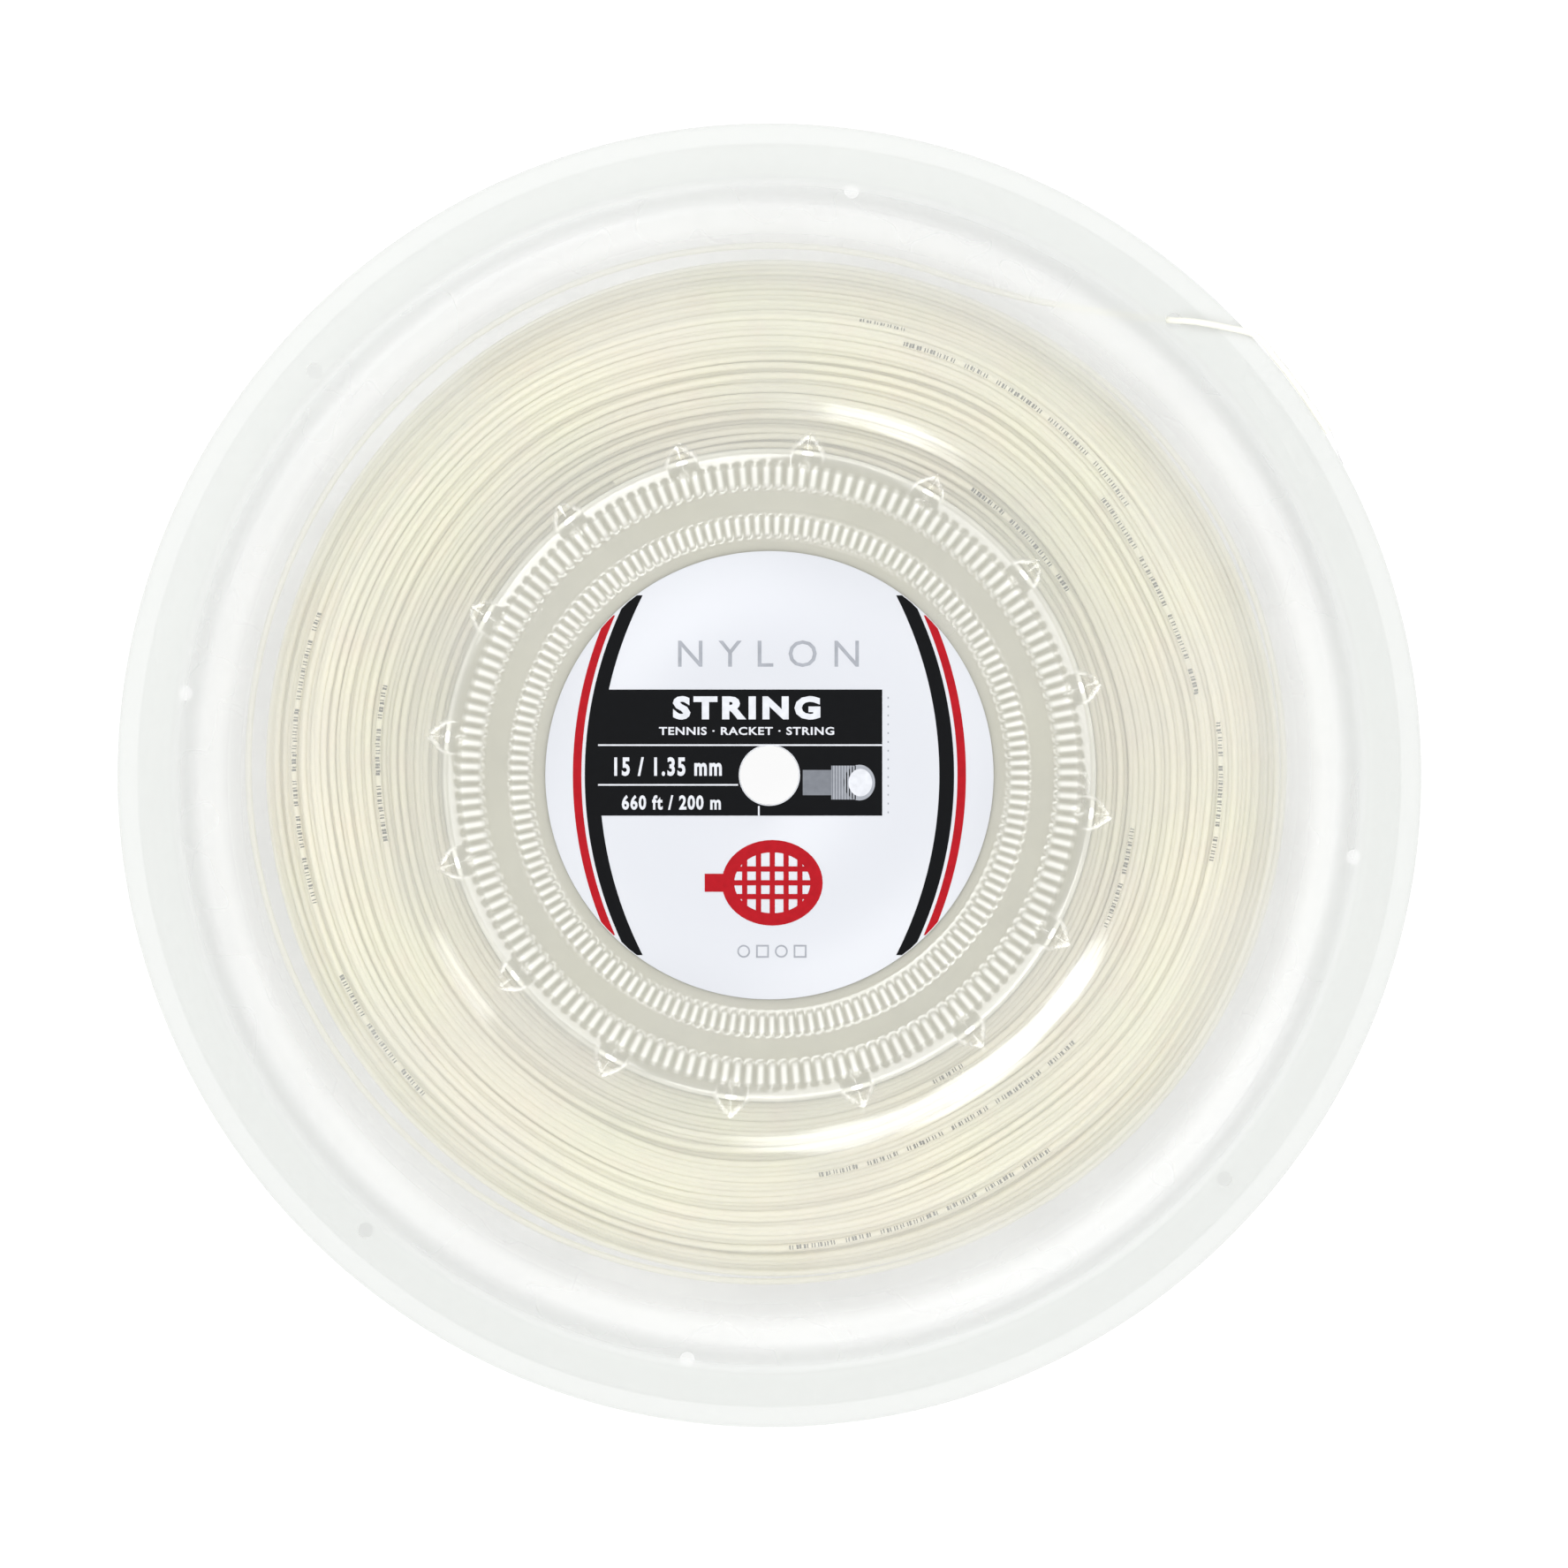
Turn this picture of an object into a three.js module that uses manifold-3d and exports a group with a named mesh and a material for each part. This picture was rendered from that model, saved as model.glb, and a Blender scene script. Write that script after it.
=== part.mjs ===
// String reel: 200 m of 1.35 mm racket string wound between two thin clear formed shells.
// Millimetres, +Z up along the reel's axis. The reel lies flat: z = 0 is the rim plane of the
// back shell, and the origin is the centre of that plane.
import * as THREE from 'three';
import { mergeVertices } from 'three/addons/utils/BufferGeometryUtils.js';
import Module from 'manifold-3d';

const wasm = await Module();
wasm.setup();

// ---- driving dimensions ----
const RIM_RADIUS = 135; // outside radius of both shells
const THICKNESS = 40; // back rim plane to front rim plane
const WALL = 0.8; // formed sheet
const GAP = 0.3; // air between pieces that touch on the real reel
const SPINDLE_RADIUS = 6.2; // centre hole, for a half-inch spindle
const STRING_DIAMETER = 1.35;
const SEGMENTS = 64; // facets of a full turn
const MID = THICKNESS / 2; // height of the plane between the two shells

// Radii of the shell's rings, from the rim inwards, and heights above the middle plane.
const STEP_OUTER = 122.2; // inner edge of the flat rim band
const STEP_INNER = 118.5; // foot of the step, where the flange cone begins
const HUB_CORNER = 67.5; // flange turns down into the hub
const RISER_1 = { outer: 64.9, inner: 60.3 };
const RISER_2 = { outer: 54.4, inner: 50.3 };
const CONE_HIGH = 16; // flange at the foot of the step
const BEND = { radius: 81.4, high: 13.2 }; // flange dips more steeply inside this ring
const CONE_LOW = 11.1; // flange beside the hub corner
const CONE_FOOT = HUB_CORNER + 3.4; // radius at which the flange is lowest
const TERRACE_HIGH = 5.6; // ledge between the two risers
const FLOOR_HIGH = 1.4; // outside of the hub floor

// Four holes in each rim band, where a loose end is parked.
const TAIL_HOLE = { radius: 1.6, circle: 126, frontAngle: 48.4, backAngle: 82 };

const CORE = { inner: 67.2, outer: 68.2, halfWidth: 10.1 };
const WINDING_INNER = CORE.outer + 1.0;
const WINDING_OUTER = 108; // mean radius of the outermost turns
const LABEL = { radius: 47.1, thickness: 0.3 };
const BOND = { inner: 14, outer: 40 };
const START_TAPE = { width: 15, arc: 14, thickness: 0.2 };
const TAIL_TAPE = { from: 28.5, to: 40, inner: 126.5, thickness: 0.2 };

// ---- materials ----
function material(color, roughness, opacity = 1) {
  return new THREE.MeshStandardMaterial({
    color, roughness, metalness: 0, opacity, transparent: opacity < 1,
  });
}

const clearSheet = material('#eef1ee', 0.12, 0.3);
const milkySheet = material('#e9e8df', 0.4, 0.8);
const nylonString = material('#eef0da', 0.3);
const labelCard = material('#eceef2', 0.45);
const clearTape = material('#f4f4ee', 0.2, 0.4);
const glueFilm = material('#e6e4d6', 0.5);

// ---- helpers ----
const radians = THREE.MathUtils.degToRad;

/** A closed mesh as a solid, its faces turned outwards. */
function solid(geometry) {
  const bare = geometry.clone();
  for (const name of Object.keys(bare.attributes)) {
    if (name !== 'position') bare.deleteAttribute(name);
  }
  const merged = mergeVertices(bare, 1e-4);
  const xyz = merged.attributes.position.array;
  const corners = [];
  for (let i = 0; i < merged.index.count; i += 3) {
    const face = [0, 1, 2].map((k) => merged.index.getX(i + k));
    if (new Set(face).size === 3) corners.push(...face);
  }
  const corner = (n) => new THREE.Vector3().fromArray(xyz, 3 * corners[n]);
  let volume = 0;
  for (let i = 0; i < corners.length; i += 3) {
    volume += corner(i).dot(corner(i + 1).cross(corner(i + 2)));
  }
  if (volume < 0) corners.reverse();
  return new wasm.Manifold(new wasm.Mesh({
    numProp: 3,
    vertProperties: new Float32Array(xyz),
    triVerts: new Uint32Array(corners),
  }));
}

/** A named mesh of a solid. */
function piece(name, body, surface) {
  const { vertProperties, triVerts } = body.getMesh();
  const geometry = new THREE.BufferGeometry();
  geometry.setAttribute('position', new THREE.BufferAttribute(vertProperties, 3));
  geometry.setIndex(new THREE.BufferAttribute(triVerts, 1));
  geometry.computeVertexNormals();
  const mesh = new THREE.Mesh(geometry, surface);
  mesh.name = name;
  return mesh;
}

/** A ring turned about Z from a closed loop of [radius, height] points. */
function turned(loop) {
  const points = [...loop, loop[0]].map(([r, z]) => new THREE.Vector2(r, z));
  return new THREE.LatheGeometry(points, SEGMENTS).rotateX(Math.PI / 2);
}

/** A plain ring with a rectangular section. */
function band(inner, outer, low, high) {
  return turned([[inner, low], [outer, low], [outer, high], [inner, high]]);
}

/** A prism over the sector between two angles, for cutting a ring to an arc. */
function sector(from, to, reach, low, high) {
  const shape = new THREE.Shape([
    new THREE.Vector2(0, 0),
    new THREE.Vector2(reach * Math.cos(radians(from)), reach * Math.sin(radians(from))),
    new THREE.Vector2(reach * Math.cos(radians(to)), reach * Math.sin(radians(to))),
  ]);
  const prism = new THREE.ExtrudeGeometry(shape, { depth: high - low, bevelEnabled: false });
  return solid(prism.translate(0, 0, low));
}

/** A point from its radius, its angle in degrees and its height above the middle plane. */
function polar(radius, angle, height) {
  return new THREE.Vector3(
    radius * Math.cos(radians(angle)), radius * Math.sin(radians(angle)), height);
}

// ---- shells ----
/** Outside of the front shell, as [radius, height above the middle plane], rim to centre. */
const SHELL_LINE = [
  [RIM_RADIUS, MID],
  [STEP_OUTER, MID],
  [STEP_OUTER - 0.8, MID - 0.8],
  [STEP_INNER + 0.8, CONE_HIGH + 0.6],
  [STEP_INNER, CONE_HIGH],
  [BEND.radius, BEND.high],
  [CONE_FOOT, CONE_LOW],
  [HUB_CORNER, CONE_LOW + 0.2],
  [RISER_1.outer, CONE_LOW - 1.1],
  [RISER_1.inner, TERRACE_HIGH],
  [RISER_2.outer, TERRACE_HIGH - 0.2],
  [RISER_2.inner, FLOOR_HIGH + 0.4],
  [RISER_2.inner - 0.8, FLOOR_HIGH],
  [SPINDLE_RADIUS, FLOOR_HIGH],
];

/** One formed shell about the middle plane, with its ring of tail holes. */
function shell(holeAngle) {
  const inside = SHELL_LINE.map(([r, z]) => [r, z - WALL]).reverse();
  const drill = new THREE.CylinderGeometry(
    TAIL_HOLE.radius, TAIL_HOLE.radius, 4 * WALL, 16).rotateX(Math.PI / 2);
  let body = solid(turned([...SHELL_LINE, ...inside]));
  for (let quarter = 0; quarter < 4; quarter += 1) {
    const at = polar(TAIL_HOLE.circle, holeAngle + 90 * quarter, MID);
    body = body.subtract(solid(drill.clone().translate(at.x, at.y, at.z)));
  }
  return body;
}

function shells() {
  const front = piece('front_shell', shell(TAIL_HOLE.frontAngle), clearSheet);
  const back = piece('back_shell', shell(-TAIL_HOLE.backAngle), clearSheet);
  back.rotation.x = Math.PI;
  return [front, back];
}

// ---- hub ----
function hub() {
  const core = band(CORE.inner, CORE.outer, -CORE.halfWidth, CORE.halfWidth);
  const glue = FLOOR_HIGH - WALL - GAP;
  const bond = band(BOND.inner, BOND.outer, -glue, glue);
  const low = FLOOR_HIGH + GAP;
  const disc = band(SPINDLE_RADIUS, LABEL.radius, low, low + LABEL.thickness);
  const back = piece('back_label', solid(disc), labelCard);
  back.rotation.x = Math.PI;
  return [
    piece('core_ring', solid(core), milkySheet),
    piece('hub_bond', solid(bond), glueFilm),
    piece('front_label', solid(disc), labelCard),
    back,
  ];
}

/** Clear tape that holds the string's first end on the core. */
function startTape() {
  const low = CORE.outer + GAP;
  const ring = band(low, low + START_TAPE.thickness, -START_TAPE.width / 2, START_TAPE.width / 2);
  const half = THREE.MathUtils.radToDeg(START_TAPE.arc / 2 / low);
  const arc = sector(180 - half, 180 + half, 2 * low, -START_TAPE.width, START_TAPE.width);
  return piece('start_tape', solid(ring).intersect(arc), clearTape);
}

// ---- string ----
/** Outside radius of the wound string, which lies a little unevenly round the core. */
function windingRadius(angle) {
  const a = radians(angle);
  return WINDING_OUTER + 0.9 * Math.cos(a) + 1.7 * Math.sin(a);
}

/** Half the width of the channel between the flanges at a radius, less a gap. */
function channelHalfWidth(radius) {
  const { mapLinear } = THREE.MathUtils;
  const flange = radius < BEND.radius
    ? mapLinear(radius, CONE_FOOT, BEND.radius, CONE_LOW, BEND.high)
    : mapLinear(radius, BEND.radius, STEP_INNER, BEND.high, CONE_HIGH);
  return flange - WALL - GAP;
}

function winding() {
  const outer = windingRadius(0);
  // The sides round off over the last 13 mm, so the outermost turns lie in a narrow band.
  const sides = [
    [WINDING_INNER, 1], [BEND.radius, 1], [outer - 13, 1], [outer - 8, 0.89], [outer - 4, 0.64], [outer, 0.25],
  ];
  const half = sides.map(([r, share]) => [r, share * channelHalfWidth(r)]);
  const geometry = turned([...half, ...half.map(([r, z]) => [r, -z]).reverse()]);
  const at = geometry.attributes.position;
  for (let i = 0; i < at.count; i += 1) {
    const [x, y] = [at.getX(i), at.getY(i)];
    const radius = Math.hypot(x, y);
    const share = (radius - WINDING_INNER) / (outer - WINDING_INNER);
    const angle = THREE.MathUtils.radToDeg(Math.atan2(y, x));
    const stretched = WINDING_INNER + share * (windingRadius(angle) - WINDING_INNER);
    at.setXY(i, (x / radius) * stretched, (y / radius) * stretched);
  }
  return piece('string_winding', solid(geometry), nylonString);
}

/** The loose end: off the winding, up through a front tail hole and along the rim's edge. */
function tail() {
  const lie = MID + GAP + STRING_DIAMETER / 2; // resting on the front rim band
  const edge = RIM_RADIUS + 0.2 + STRING_DIAMETER / 2; // resting against the rim's edge
  const route = [
    polar(windingRadius(70) + 1.2, 70, 4.5),
    polar(111.9, 65.2, 6.0),
    polar(113.8, 60.6, 8.4),
    polar(117.8, 55.4, 11.8),
    polar(121.8, 51.6, 14.9),
    polar(124.5, 49.5, 17.4),
    polar(TAIL_HOLE.circle, TAIL_HOLE.frontAngle, MID - WALL / 2),
    polar(127.3, 47.6, lie + 0.25),
    polar(129.3, 46.4, lie + 0.45),
    polar(132.4, 44.4, lie + 0.05),
    polar(135.3, 42.5, lie - 0.05),
    polar(edge + 0.15, 41.1, MID - 0.2),
    polar(edge, 39.6, MID - 1.0),
    polar(edge, 36.5, MID - 1.1),
    polar(edge, 31.5, MID - 1.1),
  ];
  const section = new THREE.Shape();
  section.absarc(0, 0, STRING_DIAMETER / 2, 0, 2 * Math.PI);
  const tube = new THREE.ExtrudeGeometry(section, {
    steps: 48, curveSegments: 4, extrudePath: new THREE.CatmullRomCurve3(route),
  });
  return piece('string_tail', solid(tube), nylonString);
}

/** Clear tape folded over the rim's edge and the loose end. */
function tailTape() {
  const t = TAIL_TAPE.thickness;
  const out = RIM_RADIUS + STRING_DIAMETER + 0.45; // inner face of the fold
  const top = MID + 0.2;
  const low = MID - WALL - 0.2;
  const fold = MID - 1.1 - STRING_DIAMETER / 2 - 0.15;
  const ring = turned([
    [TAIL_TAPE.inner, top], [out - 0.3, top], [out, top - 0.3], [out, fold + 0.3],
    [out - 0.3, fold], [RIM_RADIUS + 0.3, fold], [RIM_RADIUS - 0.8, low],
    [TAIL_TAPE.inner + 3, low],
    [TAIL_TAPE.inner + 3, low - t], [RIM_RADIUS - 0.8, low - t], [RIM_RADIUS + 0.3, fold - t],
    [out - 0.2, fold - t], [out + t, fold + 0.2], [out + t, top - 0.2],
    [out - 0.2, top + t], [TAIL_TAPE.inner, top + t],
  ]);
  const arc = sector(TAIL_TAPE.from, TAIL_TAPE.to, 1.2 * RIM_RADIUS, 0, 2 * MID);
  return piece('tail_tape', solid(ring).intersect(arc), clearTape);
}

// ---- assembly ----
const reel = new THREE.Group();
reel.position.z = MID;
reel.add(...shells(), ...hub(), startTape(), winding(), tail(), tailTape());
export default reel;
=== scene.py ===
"""String reel: two clear formed shells round 200 m of wound string, printed labels, tape and a plain studio."""
import logging
import math
import random
from collections.abc import Iterable, Mapping, Sequence
from dataclasses import dataclass, field
from enum import Enum
from typing import Any

import bpy
import numpy as np
from mathutils import Matrix, Vector


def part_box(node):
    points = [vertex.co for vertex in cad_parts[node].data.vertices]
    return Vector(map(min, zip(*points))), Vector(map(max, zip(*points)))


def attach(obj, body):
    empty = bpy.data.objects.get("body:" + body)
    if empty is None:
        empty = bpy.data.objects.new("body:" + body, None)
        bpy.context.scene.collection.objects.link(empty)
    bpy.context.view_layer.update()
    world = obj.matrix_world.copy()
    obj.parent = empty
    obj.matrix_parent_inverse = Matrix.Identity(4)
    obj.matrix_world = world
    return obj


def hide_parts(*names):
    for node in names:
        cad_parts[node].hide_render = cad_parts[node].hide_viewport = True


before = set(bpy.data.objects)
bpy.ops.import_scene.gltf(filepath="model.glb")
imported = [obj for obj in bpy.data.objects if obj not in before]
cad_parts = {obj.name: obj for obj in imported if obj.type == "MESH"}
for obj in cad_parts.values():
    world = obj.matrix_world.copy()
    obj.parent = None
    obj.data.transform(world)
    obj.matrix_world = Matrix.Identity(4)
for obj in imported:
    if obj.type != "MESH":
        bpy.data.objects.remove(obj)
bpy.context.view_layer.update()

LOG = logging.getLogger("string_reel")
MM = 0.001
BODY = "root"
STRING_DIAMETER = 1.35  # mm
STRING_LENGTH = 200_000.0  # mm wound on the reel
SHEET = 0.8  # mm, wall of the formed shells
TAPE_FILM = 0.06  # mm
LEAVE_LIFT = 1.2  # mm, how far outside the winding the loose end leaves it
LEAVE_HEIGHT = 4.5  # mm above the middle plane
WHITE_LIGHT = (1.0, 1.0, 1.0, 1.0)
TIMES = {"operation": "MULTIPLY"}
TIMES_ADD = {"operation": "MULTIPLY_ADD"}
SMOOTH = {"interpolation_type": "SMOOTHSTEP"}
COLOUR = {"data_type": "RGBA"}


# ---------------------------------------------------------------- names


class Slot(Enum):
    """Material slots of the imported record."""

    CLEAR_PET = "clear_pet"
    MILKY_PLASTIC = "milky_plastic"
    NYLON_STRING = "nylon_string"
    COATED_CARD = "coated_card"
    CLEAR_TAPE = "clear_tape"
    GLUE = "glue"


class Side(Enum):
    """Which half of the reel a piece belongs to."""

    FRONT = "front"
    BACK = "back"


class InkTone(Enum):
    """Printing inks of the labels and of the string, as sRGB hex."""

    BLACK = "#08090b"
    RED = "#8c1019"
    SILVER = "#85888e"
    GREY = "#63666c"
    WHITE = "#b2b4b9"
    OLIVE = "#2a2a1e"


# ---------------------------------------------------------------- small tools


def linear(hex_colour: str, alpha: float = 1.0) -> tuple[float, float, float, float]:
    """Turn an sRGB hex colour into linear light.

    Args:
        hex_colour: A colour such as "#c01722".
        alpha: The fourth value.

    Returns:
        Red, green, blue and alpha in linear light.
    """
    parts = [int(hex_colour[i : i + 2], 16) / 255 for i in (1, 3, 5)]
    r, g, b = (c / 12.92 if c <= 0.04045 else ((c + 0.055) / 1.055) ** 2.4 for c in parts)
    return r, g, b, alpha


def add_node(
    tree: bpy.types.NodeTree,
    kind: str,
    settings: Mapping[str, Any] | None = None,
    inputs: Mapping[str | int, Any] | None = None,
) -> bpy.types.Node:
    """Add a node with its settings and links.

    Args:
        tree: The node tree that takes the node.
        kind: The node's type name.
        settings: Properties to set on the node.
        inputs: Values, output sockets, or nodes for their first live output, by input name or number.

    Returns:
        The new node.
    """
    node = tree.nodes.new(kind)
    for name, value in (settings or {}).items():
        setattr(node, name, value)
    for key, value in (inputs or {}).items():
        if isinstance(value, bpy.types.Node):
            value = next(socket for socket in value.outputs if socket.enabled)
        if isinstance(value, bpy.types.NodeSocket):
            tree.links.new(value, node.inputs[key])
        else:
            node.inputs[key].default_value = value
    return node


def polar(radius: float, angle: float, height: float) -> Vector:
    """A point in mm from its radius, its angle in degrees and its height above the back rim plane."""
    turn = math.radians(angle)
    return Vector((radius * math.cos(turn), radius * math.sin(turn), height))


def smooth_step(low: float, high: float, value: np.ndarray) -> np.ndarray:
    """Rise smoothly from 0 at low to 1 at high."""
    share = np.clip((value - low) / (high - low), 0.0, 1.0)
    return share * share * (3 - 2 * share)


def mesh_object(
    name: str,
    points: np.ndarray | Sequence[Sequence[float]],
    faces: Sequence[Sequence[int]],
    edges: Sequence[Sequence[int]] = (),
) -> bpy.types.Object:
    """Make an object from points in mm.

    Args:
        name: The object's name.
        points: Points in mm, in the row frame.
        faces: Corner numbers of each face.
        edges: Loose edges.

    Returns:
        The object, linked to the scene, its vertices in metres.
    """
    mesh = bpy.data.meshes.new(name)
    scaled = (np.asarray(points, float) * MM).tolist()
    mesh.from_pydata(scaled, [tuple(e) for e in edges], [tuple(f) for f in faces])
    mesh.update()
    made = bpy.data.objects.new(name, mesh)
    bpy.context.scene.collection.objects.link(made)
    return made


def grid_faces(rows: int, wide: int, round_rows: bool, round_wide: bool) -> list[tuple[int, ...]]:
    """Faces between the points of a grid.

    Args:
        rows: Number of rows.
        wide: Points in a row.
        round_rows: Whether the last row meets the first.
        round_wide: Whether each row closes on itself.

    Returns:
        Four corners each, row by row.
    """
    faces = []
    for k in range(rows if round_rows else rows - 1):
        here, after = k * wide, (k + 1) % rows * wide
        for j in range(wide if round_wide else wide - 1):
            beside = (j + 1) % wide
            faces.append((here + j, after + j, after + beside, here + beside))
    return faces


def prism_faces(count: int, start: int = 0) -> list[tuple[int, ...]]:
    """Faces of a prism between two outlines.

    Args:
        count: Corners of an outline.
        start: First corner of the low outline, which the high one follows.

    Returns:
        Low end, high end and sides.
    """
    low, high = range(start, start + count), range(start + count, start + 2 * count)
    sides = [(low[k], low[(k + 1) % count], high[(k + 1) % count], high[k]) for k in range(count)]
    return [tuple(reversed(low)), tuple(high), *sides]


def turned(name: str, loop: Sequence[tuple[float, float]], steps: int = 240) -> bpy.types.Object:
    """Turn a closed section about Z.

    Args:
        name: The object's name.
        loop: Radius and height of each corner, anticlockwise as seen with the radius to the right.
        steps: Facets of a turn.

    Returns:
        A closed ring.
    """
    points = [polar(r, 360 * k / steps, z) for k in range(steps) for r, z in loop]
    return mesh_object(name, points, grid_faces(steps, len(loop), True, True))


def settle(made: bpy.types.Object, name: str | None = None) -> bpy.types.Object:
    """Turn an object and its modifiers into a plain mesh object.

    Args:
        made: A mesh, curve or text object with its modifiers.
        name: The settled object's name, or None to keep it.

    Returns:
        The settled object, at the origin. The given object is removed.
    """
    wanted = name or made.name
    bpy.context.view_layer.update()
    graph = bpy.context.evaluated_depsgraph_get()
    shown = made.evaluated_get(graph)
    mesh = bpy.data.meshes.new_from_object(shown, preserve_all_data_layers=True, depsgraph=graph)
    mesh.transform(made.matrix_world)
    bpy.data.objects.remove(made)
    mesh.name = wanted
    plain = bpy.data.objects.new(wanted, mesh)
    bpy.context.scene.collection.objects.link(plain)
    return plain


def join(name: str, parts: Sequence[bpy.types.Object]) -> bpy.types.Object:
    """Join settled objects into one mesh object.

    Args:
        name: The joined object's name.
        parts: Plain mesh objects at the origin, which are removed.

    Returns:
        The joined object.
    """
    points: list[np.ndarray] = []
    faces: list[tuple[int, ...]] = []
    start = 0
    for part in parts:
        found = np.empty(len(part.data.vertices) * 3, np.float32)
        part.data.vertices.foreach_get("co", found)
        points.append(found.reshape(-1, 3) / MM)
        faces += [tuple(start + v for v in face.vertices) for face in part.data.polygons]
        start += len(part.data.vertices)
        bpy.data.objects.remove(part)
    return mesh_object(name, np.concatenate(points), faces)


def shade_smooth(made: bpy.types.Object, sharp_from: float = 35.0) -> None:
    """Smooth a mesh's shading, but keep edges sharper than an angle in degrees."""
    made.data.shade_smooth()
    made.data.set_sharp_from_angle(angle=math.radians(sharp_from))


def film(name: str, points: Sequence[Vector], wide: int) -> bpy.types.Object:
    """Make a strip of tape film.

    Args:
        name: The object's name.
        points: Its middle surface in mm, row by row along the tape.
        wide: Points in a row.

    Returns:
        The strip with its thickness.
    """
    made = mesh_object(name, points, grid_faces(len(points) // wide, wide, False, False))
    wall = made.modifiers.new("film", "SOLIDIFY")
    wall.thickness = TAPE_FILM * MM
    wall.offset = 0.0
    made = settle(made)
    shade_smooth(made, 60)
    return made


def place(
    made: bpy.types.Object, slot: Slot, material: bpy.types.Material, nodes: Iterable[str] = ()
) -> bpy.types.Object:
    """Dress a finished piece and hand it to the frame.

    Args:
        made: The piece, a plain mesh or curve at the origin.
        slot: The record's material slot.
        material: Its material.
        nodes: CAD nodes that it stands for.

    Returns:
        The same piece.
    """
    made.data.materials.clear()
    made.data.materials.append(material)
    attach(made, BODY)
    stood_for = tuple(nodes)
    if stood_for:
        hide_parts(*stood_for)
    faces = len(made.data.polygons) if made.type == "MESH" else 0
    LOG.info("%s: %d faces, %s", made.name, faces, slot.value)
    return made


# ---------------------------------------------------------------- Geometry Nodes trees


def geometry_tree(name: str, inputs: Mapping[str, tuple[str, Any]]) -> tuple[Any, Any]:
    """Start a Geometry Nodes tree with a geometry and a material input.

    Args:
        name: The tree's name.
        inputs: Socket type and default value by input name.

    Returns:
        The tree and its group input node.
    """
    tree = bpy.data.node_groups.new(name, "GeometryNodeTree")
    sockets = {"Geometry": ("NodeSocketGeometry", None), **inputs, "Material": ("NodeSocketMaterial", None)}
    for label, (kind, value) in sockets.items():
        made = tree.interface.new_socket(label, in_out="INPUT", socket_type=kind)
        if value is not None:
            made.default_value = value
    tree.interface.new_socket("Geometry", in_out="OUTPUT", socket_type="NodeSocketGeometry")
    return tree, add_node(tree, "NodeGroupInput")


def end_tree(tree: Any, given: Any, shape: bpy.types.Node) -> Any:
    """End a tree: realize its instances and set its material.

    Args:
        tree: The tree.
        given: Its group input node.
        shape: The node that gives its geometry.

    Returns:
        The same tree.
    """
    whole = add_node(tree, "GeometryNodeRealizeInstances", inputs={"Geometry": shape})
    dress = {"Geometry": whole, "Material": given.outputs["Material"]}
    dressed = add_node(tree, "GeometryNodeSetMaterial", inputs=dress)
    add_node(tree, "NodeGroupOutput", inputs={0: dressed})
    return tree


def run_tree(made: bpy.types.Object, tree: bpy.types.NodeTree, values: Mapping[str, Any]) -> None:
    """Add a Geometry Nodes modifier and set its inputs by their identifiers.

    Args:
        made: The object that takes the modifier.
        tree: The Geometry Nodes tree.
        values: Input values by name.
    """
    modifier = made.modifiers.new(tree.name, "NODES")
    modifier.node_group = tree
    names = {item.name: item.identifier for item in tree.interface.items_tree if item.in_out == "INPUT"}
    for label, value in values.items():
        modifier[names[label]] = value


def sweep_tree() -> bpy.types.NodeTree:
    """Tree that sweeps a round section along every edge path it is given.

    Returns:
        The tree, with inputs Diameter, Sides and Material.
    """
    sizes = {"Diameter": ("NodeSocketFloat", STRING_DIAMETER * MM), "Sides": ("NodeSocketInt", 8)}
    tree, given = geometry_tree("sweep_string", sizes)
    path = add_node(tree, "GeometryNodeMeshToCurve", inputs={"Mesh": given.outputs["Geometry"]})
    radius = add_node(tree, "ShaderNodeMath", TIMES, {0: given.outputs["Diameter"], 1: 0.5})
    section = {"Resolution": given.outputs["Sides"], "Radius": radius}
    ring = add_node(tree, "GeometryNodeCurvePrimitiveCircle", inputs=section)
    tube = add_node(
        tree, "GeometryNodeCurveToMesh", inputs={"Curve": path, "Profile Curve": ring, "Fill Caps": True}
    )
    return end_tree(tree, given, add_node(tree, "GeometryNodeSetShadeSmooth", inputs={"Geometry": tube}))


def scatter_tree() -> bpy.types.NodeTree:
    """Tree that puts a copy of an object on every point, turned and sized by the points' attributes.

    Returns:
        The tree, with inputs Mark and Material. Points carry the attributes turn and size.
    """
    tree, given = geometry_tree("scatter_marks", {"Mark": ("NodeSocketObject", None)})
    mark = add_node(
        tree, "GeometryNodeObjectInfo", {"transform_space": "ORIGINAL"}, {"Object": given.outputs["Mark"]}
    )
    turn, size = (
        add_node(tree, "GeometryNodeInputNamedAttribute", {"data_type": "FLOAT_VECTOR"}, {"Name": name})
        for name in ("turn", "size")
    )
    rotation = add_node(tree, "FunctionNodeEulerToRotation", inputs={"Euler": turn.outputs["Attribute"]})
    copies = {
        "Points": given.outputs["Geometry"],
        "Instance": mark.outputs["Geometry"],
        "Rotation": rotation,
        "Scale": size.outputs["Attribute"],
    }
    return end_tree(tree, given, add_node(tree, "GeometryNodeInstanceOnPoints", inputs=copies))


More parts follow.
